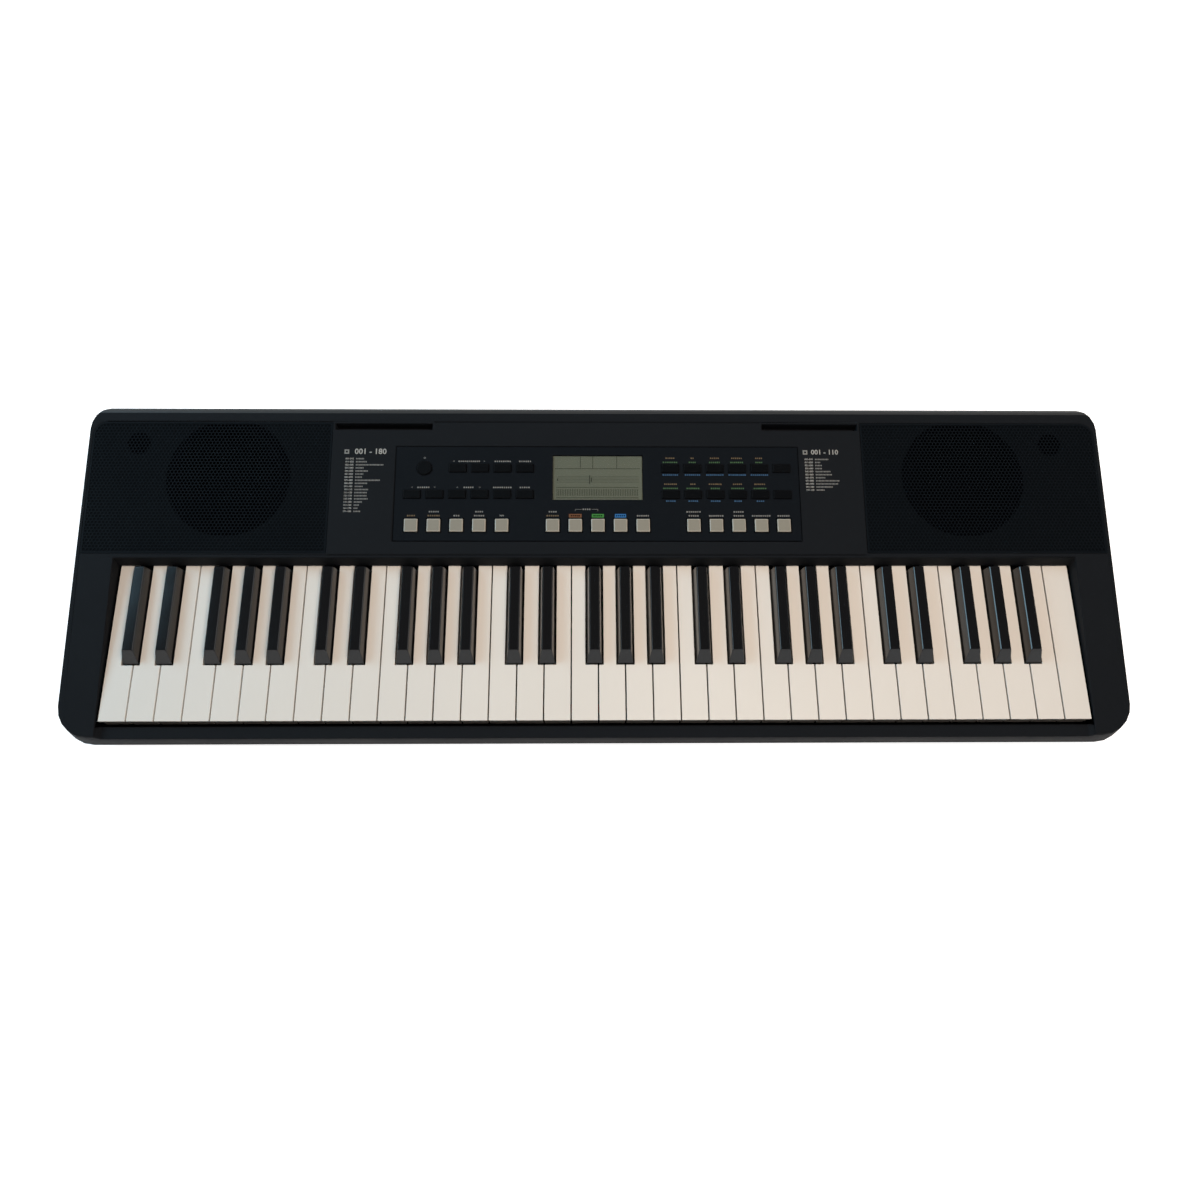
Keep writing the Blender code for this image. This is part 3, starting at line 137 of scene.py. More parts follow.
def softened(node, name, width, material, body="case", segments=2):
    """A copy of a CAD node with its loose faces sewn and its edges rounded, standing for it."""
    mesh = frame["nodes"][node].data.copy()
    bm = bmesh.new()
    bm.from_mesh(mesh)
    bmesh.ops.remove_doubles(bm, verts=bm.verts, dist=2e-6)
    bm.to_mesh(mesh)
    bm.free()
    carrier = link(bpy.data.objects.new(name + "_carrier", mesh))
    if width:
        bevel = carrier.modifiers.new("rounding", "BEVEL")
        bevel.width = width
        bevel.segments = segments
        bevel.limit_method = "ANGLE"
        bevel.angle_limit = radians(30)
        bevel.use_clamp_overlap = False
        bevel.miter_outer = "MITER_ARC"
    mesh.shade_smooth()
    mesh.set_sharp_from_angle(angle=radians(180 if width else 35))
    evening = carrier.modifiers.new("even_shading", "WEIGHTED_NORMAL")
    evening.keep_sharp = True
    evening.weight = 100
    piece = plain_mesh(carrier, name)
    piece.data.materials.clear()
    piece.data.materials.append(material)
    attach(piece, body)
    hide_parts(node)
    return piece


case_plastic = moulded("spark_eroded_black_abs", case_hex, 0.80, case_grain, 0.00006, specular=0.15)
rim_painted_highlight = moulded("black_abs_rim_painted_highlight", "#343536", 0.50, case_grain, 0.00002, specular=0.3)
upper = softened("upper_case", "upper_shell", case_edge, case_plastic)
upper.data.materials.append(rim_painted_highlight)
# Rear rim faces that face up and back take the lighter grey: a painted highlight.
for face in upper.data.polygons:
    if face.center.y > painted_highlight_start_y and face.normal.y > 0.05 and face.normal.z > 0.2:
        face.material_index = 1
softened("lower_case", "lower_shell", case_edge, case_plastic)


# The sloping deck
# Panels, grilles and buttons sit in the upper shell's deck. It rises towards the back, and all of
# its pieces are placed by x, by the distance up the slope from the key fronts, and by height.
press = next(joint for joint in frame["joints"] if joint["child"] == "power_button")
deck_normal = -Vector(press["axis"])
slope = atan2(-deck_normal.y, deck_normal.z)
key_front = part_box("keys_c_e_g_b_1")[0].y
panel_points = [vert.co for vert in frame["nodes"]["control_panel"].data.vertices]
deck_height = max(point.dot(deck_normal) for point in panel_points)
deck_origin = Vector((0, key_front, (deck_height - key_front * deck_normal.y) / deck_normal.z))
deck = Matrix.Translation(deck_origin) @ Matrix.Rotation(slope, 4, "X")


def deck_place(node):
    """A node's lowest and highest corners along the deck: x, distance up the slope, height."""
    points = [deck.inverted() @ vert.co for vert in frame["nodes"][node].data.vertices]
    low = Vector([min(point[i] for point in points) for i in range(3)])
    high = Vector([max(point[i] for point in points) for i in range(3)])
    return low, high


# Control panel plate
# A thin ABS plate bonded into a pocket of the deck, satin where the deck is grained, with the
# button openings punched through it. A thin black strip on its edge is painted shade in the seam.
panel_plastic = moulded("satin_black_abs_sheet", "#0f1216", 0.80, 0.0006, 0.00004, specular=0.15)
softened("control_panel", "panel_plate", 0.0002, panel_plastic)
seam_shade_black = moulded("black_adhesive", "#020203", 0.85, 0.0009, 0.00002, specular=0.1)
seam_shade_width = 0.0006
shade_film_lift = 0.00002
film_thickness = 0.00006


def made(name, bm, material, body="case", smooth=False):
    """A finished bmesh as one piece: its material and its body."""
    mesh = bpy.data.meshes.new(name)
    bm.to_mesh(mesh)
    bm.free()
    if smooth:
        mesh.shade_smooth()
        mesh.set_sharp_from_angle(angle=radians(35))
    mesh.materials.clear()
    mesh.materials.append(material)
    piece = link(bpy.data.objects.new(name, mesh))
    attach(piece, body)
    return piece


def deck_bars(name, bars, height, thickness, material):
    """Thin flat bars (x, s, width, depth) lying on the deck at a height, as one piece."""
    bm = bmesh.new()
    for x, s, width, depth in bars:
        cube = bmesh.ops.create_cube(bm, size=1.0)
        bmesh.ops.scale(bm, vec=(width, depth, thickness), verts=cube["verts"])
        bmesh.ops.translate(bm, vec=(x, s, height - thickness / 2), verts=cube["verts"])
    bm.transform(deck)
    return made(name, bm, material)


def frame_bars(low, high, outside, width):
    """Four bars that frame the box low to high (x, s), from its outline grown by outside."""
    x0, s0, x1, s1 = low[0] - outside, low[1] - outside, high[0] + outside, high[1] + outside
    middle_x, middle_s = (x0 + x1) / 2, (s0 + s1) / 2
    return [
        (middle_x, s0 + width / 2, x1 - x0, width),
        (middle_x, s1 - width / 2, x1 - x0, width),
        (x0 + width / 2, middle_s, width, s1 - s0 - 2 * width),
        (x1 - width / 2, middle_s, width, s1 - s0 - 2 * width)]


plate_low, plate_high = deck_place("control_panel")
# A thin black frame on the plate's edge: painted shade in the seam round it.
seam_shade_bars = frame_bars(plate_low, plate_high, 0.0001, seam_shade_width)
deck_bars("panel_seam_shade", seam_shade_bars, shade_film_lift, film_thickness, seam_shade_black)


# Display
# A liquid crystal cell under a flush acrylic window. Its unlit segments stay visible as a darker
# tint in the grey-green field: boxes at the top, a staff in the middle, a keyboard at the front.
cell_hex = "#757b6c"
segment_hex = "#383d34"
hair = 0.0005
window_low, window_high = deck_place("display_window")
display_width = window_high.x - window_low.x
display_depth = window_high.y - window_low.y


def mottled(name, code, low, high, scale, detail=2.0, **values):
    """An even colour whose roughness wanders from low to high in patches 1 / scale metres wide."""
    material = bpy.data.materials.new(name)
    material.use_nodes = True
    tree = material.node_tree
    shader = tree.nodes["Principled BSDF"]
    for key, value in {"Base Color": linear(code), **values}.items():
        shader.inputs[key].default_value = value
    place = add(tree, "ShaderNodeTexCoord").outputs["Object"]
    mottle = add(tree, "ShaderNodeTexNoise", {"Vector": place, "Scale": scale, "Detail": detail})
    spread = add(tree, "ShaderNodeMapRange", {"Value": mottle.outputs["Fac"], "To Min": low, "To Max": high})
    tree.links.new(spread.outputs["Result"], shader.inputs["Roughness"])
    return material


cell = moulded("liquid_crystal_cell", cell_hex, 0.45, 0.0012, 0.00001, contrast=0.04)
frame["nodes"]["display_module"].material_slots[0].material = cell
window = mottled("clear_acrylic_window", "#20241c", 0.04, 0.14, 60.0, 6.0, Alpha=0.12, IOR=1.49)
frame["nodes"]["display_window"].material_slots[0].material = window


def on_display(u, v):
    """A display place by shares of its width and depth, from the front left corner."""
    return window_low.x + u * display_width, window_low.y + v * display_depth


segment_bars = []
for share in (0.306, 0.445, 0.715):
    x, s = on_display(share, 0.855)
    segment_bars.append((x, s, hair, display_depth * 0.27))
x, s = on_display(0.5, 0.71)
segment_bars.append((x, s, display_width * 0.96, hair))
for line in range(5):
    x, s = on_display(0.5, 0.40 + 0.033 * line)
    segment_bars.append((x, s, display_width * 0.92, hair * 0.35))
for share, length in ((0.05, 0.05), (0.41, 0.20), (0.43, 0.10)):
    x, s = on_display(share, 0.46)
    segment_bars.append((x, s, hair * 1.6, display_depth * length))
key_marks = 48
for i in range(key_marks):
    x, s = on_display(0.045 + 0.90 * i / (key_marks - 1), 0.17)
    segment_bars.append((x, s, hair, display_depth * 0.15))
for share in (0.05, 0.285):
    x, s = on_display(0.495, share)
    segment_bars.append((x, s, display_width * 0.92, hair))
segments = mottled("unlit_segments", segment_hex, 0.37, 0.53, 900.0)
deck_bars("display_segments", segment_bars, window_low.z - 0.0002, film_thickness, segments)


# Push buttons
# Each row is one moulded strip whose caps stand a millimetre above the plate: black caps in the
# upper rows, warm pale grey ones in the lower row, their edges and sides lighter: a painted highlight.
dark_caps = moulded("satin_black_abs_caps", "#020203", 0.70, 0.0006, 0.00003, specular=0.15)
light_caps = moulded("pale_grey_abs_caps", "#8a877c", 0.55, 0.0006, 0.00003, contrast=0.03)
rims_painted_highlight = moulded("pale_grey_rims_painted_highlight", "#b4b0a4", 0.40, 0.0006, 0.00002, contrast=0.03)
# Black frames round the pale caps are painted shade in the gaps round them; the same black prints the tag
# words.
gap_shade_and_print_black = moulded("black_painted_surround", "#020203", 0.80, 0.0006, 0.00002, specular=0.1)
gap_shade_start = 0.0002
gap_shade_width = 0.0008
strips = (
    "left_upper", "left_middle", "right_upper", "right_middle", "left_lower", "centre_lower", "right_lower")


def cap_boxes(node):
    """The outlines of a strip's caps on the deck: each one's low and high corner (x, s)."""
    points = [deck.inverted() @ vert.co for vert in frame["nodes"][node].data.vertices]
    points = sorted((point for point in points if point.z > 0), key=lambda point: point.x)
    least_gap, least_cap = 0.003, 0.005
    groups = [[points[0]]]
    for before, point in zip(points, points[1:]):
        if point.x - before.x > least_gap and groups[-1][0].x < before.x - least_cap:
            groups.append([])
        groups[-1].append(point)
    depth = [point.y for point in points]
    return [((group[0].x, min(depth)), (group[-1].x, max(depth))) for group in groups]


gap_shade_bars = []
for strip in strips:
    node = strip + "_buttons"
    light = "lower" in strip
    plastic, slot = (light_caps, "button_light") if light else (dark_caps, "button_dark")
    piece = softened(node, strip + "_caps", 0.0004, plastic, body=node, segments=3)
    if light:
        piece.data.materials.append(rims_painted_highlight)
        # The pale caps' edges and sides take the brighter grey: a painted highlight.
        for face in piece.data.polygons:
            if face.normal.dot(deck_normal) < 0.98:
                face.material_index = 1
        # A thin black frame just outside each pale cap: painted shade in its gap.
        for low, high in cap_boxes(node):
            gap_shade_bars += frame_bars(low, high, gap_shade_start + gap_shade_width, gap_shade_width)
softened("power_button", "power_cap", 0.0004, dark_caps, body="power_button", segments=3)
deck_bars("button_surrounds", gap_shade_bars, shade_film_lift, film_thickness, gap_shade_and_print_black)


# Printed marks
# Fine screen printing in grey, brown, green and blue over the buttons, and two numbered lists
# beside the panel. The marks are plain numbers, signs, and rows of small bars.
print_lift = 0.00005
print_thickness = 0.00008
pitch = 0.0201
inner_x = 0.0653
letter_pitch = 0.0019
letter_height = 0.0013
ink_gloss = (0.52, 0.68, 900.0)
ink_codes = {"white": "#a0a09c", "grey": "#7f7f7c", "brown": "#6a5a42", "green": "#42603e", "blue": "#38597a"}
inks = {colour: mottled(colour + "_screen_ink", code, *ink_gloss) for colour, code in ink_codes.items()}


def printed(name, words, ink):
    """Text (text, x, s, size, boldness) in print on the deck, as one piece."""
    bm = bmesh.new()
    for text, x, s, size, bold in words:
        curve = bpy.data.curves.new(name, "FONT")
        curve.body = text
        curve.size = size
        curve.offset = bold
        curve.align_x = "CENTER"
        curve.align_y = "CENTER"
        curve.resolution_u = 2
        curve.extrude = print_thickness / 2
        carrier = link(bpy.data.objects.new(name, curve))
        bpy.context.view_layer.update()
        piece = plain_mesh(carrier, name)
        piece.data.transform(deck @ Matrix.Translation((x, s, print_lift)))
        bm.from_mesh(piece.data)
        bpy.data.objects.remove(piece, do_unlink=True)
    bmesh.ops.remove_doubles(bm, verts=bm.verts, dist=1e-6)
    return made(name, bm, ink)


def word(x, s, count, step=letter_pitch):
    """A word as a row of small upright bars centred on x, some of them narrower."""
    shares = (0.70, 0.52, 0.66, 0.60)
    half = (count - 1) / 2
    return [(x + (i - half) * step, s, step * shares[i % 4], letter_height) for i in range(count)]


def print_bars(name, bars, ink):
    """Bars in print on the deck, as one piece."""
    deck_bars(name, bars, print_lift, print_thickness, ink)


upper_s, middle_s, lower_s = [
    sum(corner.y for corner in deck_place(row + "_buttons")) / 2
    for row in ("left_upper", "left_middle", "left_lower")]
left_xs = [-(inner_x + pitch * i) for i in reversed(range(6))]
left_between_xs = [(left + right) / 2 for left, right in zip(left_xs, left_xs[1:])]
right_xs = [inner_x + pitch * i for i in range(6)]
centre_xs = [pitch * i for i in range(-2, 3)]
over_dark = 0.0065
over_light = 0.0090
over_light_second = 0.0127
panel_words = (
    (upper_s + over_dark, ((left_xs[4], 8), (left_xs[5], 6))),
    (middle_s + over_dark, (
        (left_between_xs[0], 6), (left_between_xs[2], 5), (left_xs[4], 9), (left_xs[5], 5))),
    (lower_s + over_light, (
        (left_xs[2], 3), (left_xs[3], 5), (centre_xs[4], 6), (right_xs[1], 5), (right_xs[2], 7),
        (right_xs[3], 5), (right_xs[4], 9), (right_xs[5], 6))),
    (lower_s + over_light_second, (
        (left_xs[1], 5), (left_xs[3], 4), (centre_xs[0], 4), (right_xs[1], 7), (right_xs[3], 5))))
panel_bars = word(left_between_xs[2], upper_s + over_dark, 11, 0.0018)
for s, words in panel_words:
    for x, count in words:
        panel_bars += word(x, s, count)
bracket_s = lower_s + 0.0150
bracket_arm = 0.0056
bracket_hook = 0.0018
bracket_line = 0.0003
panel_bars += word((centre_xs[1] + centre_xs[2]) / 2, bracket_s, 4)
for side, x in ((-1, centre_xs[1]), (1, centre_xs[2])):
    panel_bars.append((x - side * bracket_arm / 2, bracket_s, bracket_arm, bracket_line))
    panel_bars.append((x, bracket_s - 0.0008, bracket_line, bracket_hook))
print_bars("panel_words", panel_bars, inks["grey"])

sign = 0.0028
arrow_gap = 0.0036
power_ring = 0.0040
power_low, power_high = deck_place("power_button")
panel_signs = [
    ("<", left_xs[2] - arrow_gap, upper_s + over_dark, sign, 0.0),
    (">", left_xs[3] + arrow_gap, upper_s + over_dark, sign, 0.0)]
for i in (0, 2):
    panel_signs.append(("<", left_xs[i], middle_s + over_dark, sign, 0.0))
    panel_signs.append((">", left_xs[i + 1], middle_s + over_dark, sign, 0.0))
panel_signs.append((">/+", left_xs[4], lower_s + over_light, sign, 0.0001))
panel_signs.append(("o", (power_low.x + power_high.x) / 2, upper_s + 0.0100, power_ring, 0.0))
printed("panel_signs", panel_signs, inks["grey"])

list_step = 0.002925
list_first_s = 0.23545
list_letter = 0.00125
list_text = 0.0022
numbers_half = 0.0050
words_offset = 0.0106
heading_s = 0.2422
heading_icon = 0.0042
icon_line = 0.0012
lists = (
    (-0.2277, 0.0235, 0.0074, (6, 8, 20, 6, 9, 6, 5, 18, 9, 6, 10, 9, 9, 10, 6, 4, 3, 5)),
    (0.1860, 0.0198, 0.0064, (10, 4, 5, 5, 11, 12, 7, 17, 16, 12, 6)))
list_bars = []
list_numbers = []
for list_x, heading_offset, heading_size, counts in lists:
    for i, count in enumerate(counts):
        s = list_first_s - list_step * i
        numbers = f"{10 * i + 1:03d}-{10 * i + 10:03d}"
        list_numbers.append((numbers, list_x + numbers_half, s, list_text, 0.00005))
        list_bars += word(list_x + words_offset + count * list_letter / 2, s, count, list_letter)
    heading = f"001 - {10 * len(counts):03d}"
    list_numbers.append((heading, list_x + heading_offset, heading_s, heading_size, 0.00012))
    icon_low = (list_x, heading_s - heading_icon / 2)
    icon_high = (list_x + heading_icon, heading_s + heading_icon / 2)
    list_bars += frame_bars(icon_low, icon_high, 0.0, icon_line)
print_bars("list_words", list_bars, inks["grey"])
printed("list_numbers", list_numbers, inks["white"])

tag_codes = {"brown": "#66432a", "green": "#397a36", "blue": "#2b669e"}
tag_widths = (0.0114, 0.0108, 0.0100)
tag_depth = 0.0034
tag_words_lift = print_lift + 0.00003
tag_bars = []
for (colour, code), x, width in zip(tag_codes.items(), centre_xs[1:4], tag_widths):
    tag_ink = mottled(colour + "_tag_ink", code, *ink_gloss)
    print_bars(colour + "_tag", [(x, lower_s + over_light, width, tag_depth)], tag_ink)
    tag_bars += word(x, lower_s + over_light, 5, 0.0017)

voice_words = {
    "brown": (0.0098, 0.0017, (5, 2, 5, 6, 4), (7, 3, 7, 5, 6)),
    "green": (0.0058, 0.0017, (8, 4, 6, 7, 4), (8, 7, 5, 7, 7)),
    "blue": (-0.0062, 0.0018, (8, 8, 9, 9, 9), (5, 5, 5, 4, 4))}
voice_bars = {colour: [] for colour in voice_words}
for x, count in ((left_xs[0], 4), (left_xs[1], 6), (centre_xs[0], 6)):
    voice_bars["brown"] += word(x, lower_s + over_light, count)
for colour, (rise, step, upper_counts, middle_counts) in voice_words.items():
    for row_s, counts in ((upper_s, upper_counts), (middle_s, middle_counts)):
        for x, count in zip(right_xs, counts):
            voice_bars[colour] += word(x, row_s + rise, count, step)
    print_bars(colour + "_bars", voice_bars[colour], inks[colour])
deck_bars("tag_words", tag_bars, tag_words_lift, print_thickness, gap_shade_and_print_black)


# Speaker grilles
# One ABS moulding per side, perforated all over with hexagonal holes on a triangular pitch of
# about three millimetres. A backing closes the holes, but for a round field over the loudspeaker
# and a port near the rear corner; a black ring round the field and a disc in the port are painted shadow.
grille_pitch = 0.0032
hole_share = 0.76
sheet_depth = 0.0005
grille_depth = 0.0012
grille_border = 0.0015
corner_radius = 0.012
speaker_x = 0.3298
speaker_s = 0.2180
speaker_opening = 0.0552
port_x = 0.4120
port_s = 0.2500
port_opening = 0.0105
grille_plastic = moulded("perforated_black_abs", "#0b0f13", 0.80, 0.0006, 0.00004, specular=0.15)
backing_plastic = moulded("black_abs_backing", "#080b0e", 0.90, 0.0006, 0.00004, specular=0.1)
# The black ring round the loudspeaker field and the disc in the port are painted shadow.
painted_shadow_black = moulded("black_baffle_paint", "#010102", 0.95, 0.0009, 0.00004, specular=0.0)
shadow_ring_opening = 0.0468
film_gap = 0.00002


def sized_tree(name, sizes):
    """A geometry tree with its sizes and its finish as named inputs, and the sockets they reach."""
    tree = bpy.data.node_groups.new(name, "GeometryNodeTree")
    tree.interface.new_socket(name="Geometry", in_out="OUTPUT", socket_type="NodeSocketGeometry")
    kinds = [("Geometry", "Geometry")] + [(size, "Float") for size in sizes] + [("Finish", "Material")]
    for label, kind in kinds:
        tree.interface.new_socket(name=label, in_out="INPUT", socket_type="NodeSocket" + kind)
    return tree, add(tree, "NodeGroupInput").outputs


def finished(tree, given, geometry):
    """The tree, ended: its instances made real and given the finish."""
    real = add(tree, "GeometryNodeRealizeInstances", {"Geometry": geometry})
    dressed = add(tree, "GeometryNodeSetMaterial", {"Geometry": real.outputs[0], "Material": given["Finish"]})
    add(tree, "NodeGroupOutput", {"Geometry": dressed.outputs[0]})
    return tree


def perforated_tree():
    """Nodes for a hexagonally perforated sheet, cut to a box with one rounded rear corner."""
    sizes = ("Pitch", "Width", "Length", "Corner", "Hole share", "Depth")
    tree, given = sized_tree("perforated_sheet", sizes)

    def maths(operation, *values):
        return add(tree, "ShaderNodeMath", dict(enumerate(values)), operation=operation).outputs[0]

    row_height = maths("MULTIPLY", given["Pitch"], 0.8660254)
    columns = maths("CEIL", maths("DIVIDE", given["Width"], given["Pitch"]))
    rows = maths("CEIL", maths("DIVIDE", given["Length"], row_height))
    across = maths("ADD", columns, 3.0)
    along = maths("ADD", rows, 3.0)
    size_x = maths("MULTIPLY", maths("SUBTRACT", across, 1.0), given["Pitch"])
    size_y = maths("MULTIPLY", maths("SUBTRACT", along, 1.0), row_height)
    grid = add(tree, "GeometryNodeMeshGrid", {
        "Size X": size_x, "Size Y": size_y, "Vertices X": across, "Vertices Y": along})
    place = add(tree, "ShaderNodeSeparateXYZ", {0: add(tree, "GeometryNodeInputPosition").outputs[0]})
    from_front = maths("ADD", place.outputs["Y"], maths("MULTIPLY", size_y, 0.5))
    row = maths("ROUND", maths("DIVIDE", from_front, row_height))
    odd = maths("FLOORED_MODULO", row, 2.0)
    shift = maths("MULTIPLY", maths("MULTIPLY", odd, given["Pitch"]), 0.5)
    offset = add(tree, "ShaderNodeCombineXYZ", {"X": shift})
    lattice = add(tree, "GeometryNodeSetPosition", {
        "Geometry": grid.outputs["Mesh"], "Offset": offset.outputs[0]})
    triangles = add(tree, "GeometryNodeTriangulate", {
        "Mesh": lattice.outputs[0]}, quad_method="SHORTEST_DIAGONAL")
    cells = add(tree, "GeometryNodeDualMesh", {"Mesh": triangles.outputs[0]})
    middle = add(tree, "ShaderNodeSeparateXYZ", {0: add(tree, "GeometryNodeInputPosition").outputs[0]})
    x, y = middle.outputs["X"], middle.outputs["Y"]
    half_x = maths("MULTIPLY", given["Width"], 0.5)
    half_y = maths("MULTIPLY", given["Length"], 0.5)
    too_wide = maths("GREATER_THAN", maths("ABSOLUTE", x), half_x)
    too_long = maths("GREATER_THAN", maths("ABSOLUTE", y), half_y)
    corner_x = maths("SUBTRACT", x, maths("SUBTRACT", half_x, given["Corner"]))
    corner_y = maths("SUBTRACT", y, maths("SUBTRACT", half_y, given["Corner"]))
    past = [maths("MAXIMUM", side, 0.0) for side in (corner_x, corner_y)]
    reach = maths("SQRT", maths("ADD", *[maths("MULTIPLY", side, side) for side in past]))
    past_corner = maths("GREATER_THAN", reach, given["Corner"])
    outside = maths("MAXIMUM", maths("MAXIMUM", too_wide, too_long), past_corner)
    field = add(tree, "GeometryNodeDeleteGeometry", {
        "Geometry": cells.outputs[0], "Selection": outside}, domain="FACE")
    inset = add(tree, "GeometryNodeExtrudeMesh", {
        "Mesh": field.outputs[0], "Offset Scale": 0.0, "Individual": True})
    shrunk = add(tree, "GeometryNodeScaleElements", {
        "Geometry": inset.outputs["Mesh"], "Selection": inset.outputs["Top"], "Scale": given["Hole share"]})
    sheet = add(tree, "GeometryNodeDeleteGeometry", {
        "Geometry": shrunk.outputs[0], "Selection": inset.outputs["Top"]}, domain="FACE")
    rise = add(tree, "ShaderNodeCombineXYZ", {"Z": given["Depth"]})
    raised = add(tree, "GeometryNodeExtrudeMesh", {
        "Mesh": sheet.outputs[0], "Offset": rise.outputs[0], "Offset Scale": 1.0, "Individual": False})
    under = add(tree, "GeometryNodeFlipFaces", {"Mesh": sheet.outputs[0]})
    both = add(tree, "GeometryNodeJoinGeometry")
    tree.links.new(raised.outputs["Mesh"], both.inputs[0])
    tree.links.new(under.outputs[0], both.inputs[0])
    sewn = add(tree, "GeometryNodeMergeByDistance", {"Geometry": both.outputs[0], "Distance": 1e-6})
    return finished(tree, given, sewn.outputs[0])


def grown(name, tree, values, points=()):
    """The plain mesh that a geometry tree makes from its named inputs, at points if it takes any."""
    seed = bpy.data.meshes.new(name + "_carrier")
    seed.from_pydata(points, [], [])
    carrier = link(bpy.data.objects.new(name + "_carrier", seed))
    modifier = carrier.modifiers.new("growth", "NODES")
    modifier.node_group = tree
    inputs = [item for item in tree.interface.items_tree if item.in_out == "INPUT"]
    sockets = {item.name: item.identifier for item in inputs}
    for key, value in values.items():
        modifier[sockets[key]] = value
    bpy.context.view_layer.update()
    return plain_mesh(carrier, name)


def outline_mesh(loops, low, high):
    """A flat shape bounded by loops of points, filled by a 2D curve and extruded."""
    curve = bpy.data.curves.new("outline", "CURVE")
    curve.dimensions = "2D"
    curve.fill_mode = "BOTH"
    curve.extrude = (high - low) / 2
    for loop in loops:
        spline = curve.splines.new("POLY")
        spline.points.add(len(loop) - 1)
        for point, (u, v) in zip(spline.points, loop):
            point.co = (u, v, 0, 1)
        spline.use_cyclic_u = True
    carrier = link(bpy.data.objects.new("outline", curve))
    bpy.context.view_layer.update()
    piece = plain_mesh(carrier, "outline")
    mesh = piece.data
    bpy.data.objects.remove(piece, do_unlink=True)
    mesh.transform(Matrix.Translation((0, 0, (low + high) / 2)))
    return mesh


def circle(x, y, radius, count=64):
    turns = [2 * pi * i / count for i in range(count)]
    return [(x + radius * cos(turn), y + radius * sin(turn)) for turn in turns]


def grille_loop(low, high, inset):
    """The grille's outline with its rounded outer rear corner, drawn in by inset."""
    radius = corner_radius - inset
    loop = [(low.x + inset, low.y + inset), (high.x - inset, low.y + inset)]
    steps = 10
    for i in range(steps + 1):
        turn = pi / 2 * i / steps
        x = high.x - inset - radius + radius * cos(turn)
        loop.append((x, high.y - inset - radius + radius * sin(turn)))
    loop.append((low.x + inset, high.y - inset))
    return loop


sheet_tree = perforated_tree()
field_low, field_high = deck_place("speaker_grille_right")
field_middle = (field_low + field_high) / 2
outer_loop = grille_loop(field_low, field_high, 0.0)
inner_loop = grille_loop(field_low, field_high, grille_border)
speaker_loop = circle(speaker_x, speaker_s, speaker_opening)
port_loop = circle(port_x, port_s, port_opening, 24)
shadow_ring_loop = circle(speaker_x, speaker_s, shadow_ring_opening)
for side, name in ((1, "right"), (-1, "left")):
    sheet = grown("perforated_" + name, sheet_tree, {
        "Pitch": grille_pitch, "Width": field_high.x - field_low.x - grille_border,
        "Length": field_high.y - field_low.y - grille_border, "Corner": corner_radius,
        "Hole share": hole_share, "Depth": sheet_depth, "Finish": grille_plastic})
    sheet.data.transform(Matrix.Translation((field_middle.x, field_middle.y, -sheet_depth - 2 * film_gap)))
    border = outline_mesh([outer_loop, inner_loop], -sheet_depth - film_gap, 0.0)
    plate = outline_mesh([outer_loop, speaker_loop, port_loop], -grille_depth, -sheet_depth - 2 * film_gap)
    # A black ring round the loudspeaker's open field and a black disc in the port: painted shadow.
    shadow_ring = outline_mesh([speaker_loop, shadow_ring_loop], -grille_depth, -sheet_depth - 3 * film_gap)
    port = outline_mesh([port_loop], -grille_depth, -sheet_depth - 3 * film_gap)
    for suffix, meshes, finish in (
            ("", (sheet.data, border), grille_plastic),
            ("_backing", (plate,), backing_plastic),
            ("_painted_shadow", (shadow_ring, port), painted_shadow_black)):
        bm = bmesh.new()
        for mesh in meshes:
            bm.from_mesh(mesh)
        if side < 0:
            bm.transform(Matrix.Scale(-1, 4, (1, 0, 0)))
            bmesh.ops.reverse_faces(bm, faces=bm.faces)
        bm.transform(deck)
        grille = made("grille_" + name + suffix, bm, finish)
        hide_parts("speaker_grille_" + name)
    bpy.data.objects.remove(sheet, do_unlink=True)


# Loudspeakers
# A pressed steel basket holds a black paper cone with a rolled surround; the ferrite magnet sits
# behind it. They show only as shadows through the grille.
paper = moulded("felted_black_paper", "#020203", 0.95, 0.0008, 0.0001, contrast=0.2, specular=0.0)
basket_steel = mottled("zinc_plated_steel", "#a8a8aa", 0.28, 0.45, 300.0, 4.0, Metallic=1.0)
basket_paint = moulded("black_baked_enamel", "#030304", 0.7, 0.0008, 0.00003, specular=0.1)
ferrite = moulded("sintered_ferrite", "#2b2b2c", 0.6, 0.0006, 0.00005)
for name in ("left", "right"):
    softened("speaker_cone_" + name, "cone_" + name, 0, paper)
    softened("speaker_basket_" + name, "basket_" + name, 0, basket_paint)
    softened("speaker_magnet_" + name, "magnet_" + name, 0.0006, ferrite)


# Keys
# Gloss ABS combs: pale ivory-white naturals with softly rounded edges and a thin overhanging lip,
# and black sharps. Each comb's keys hang on thin tongues from its bar.
white_gloss = moulded("polished_ivory_abs", "#e7e3dc", 0.22, 0.004, 0.00001, contrast=0.02)
black_gloss = moulded("polished_black_abs", "#0b0b0d", 0.20, 0.004, 0.00001, contrast=0.1)
for octave in range(1, 6):
    for comb in ("c_e_g_b", "d_f_a"):
        node = f"keys_{comb}_{octave}"
        softened(node, f"naturals_{comb}_{octave}", 0.00035, white_gloss, body=node, segments=3)
    node = f"keys_black_{octave}"
    softened(node, f"sharps_{octave}", 0.0005, black_gloss, body=node, segments=3)
softened("key_top_c", "natural_top_c", 0.00035, white_gloss, body="key_top_c", segments=3)


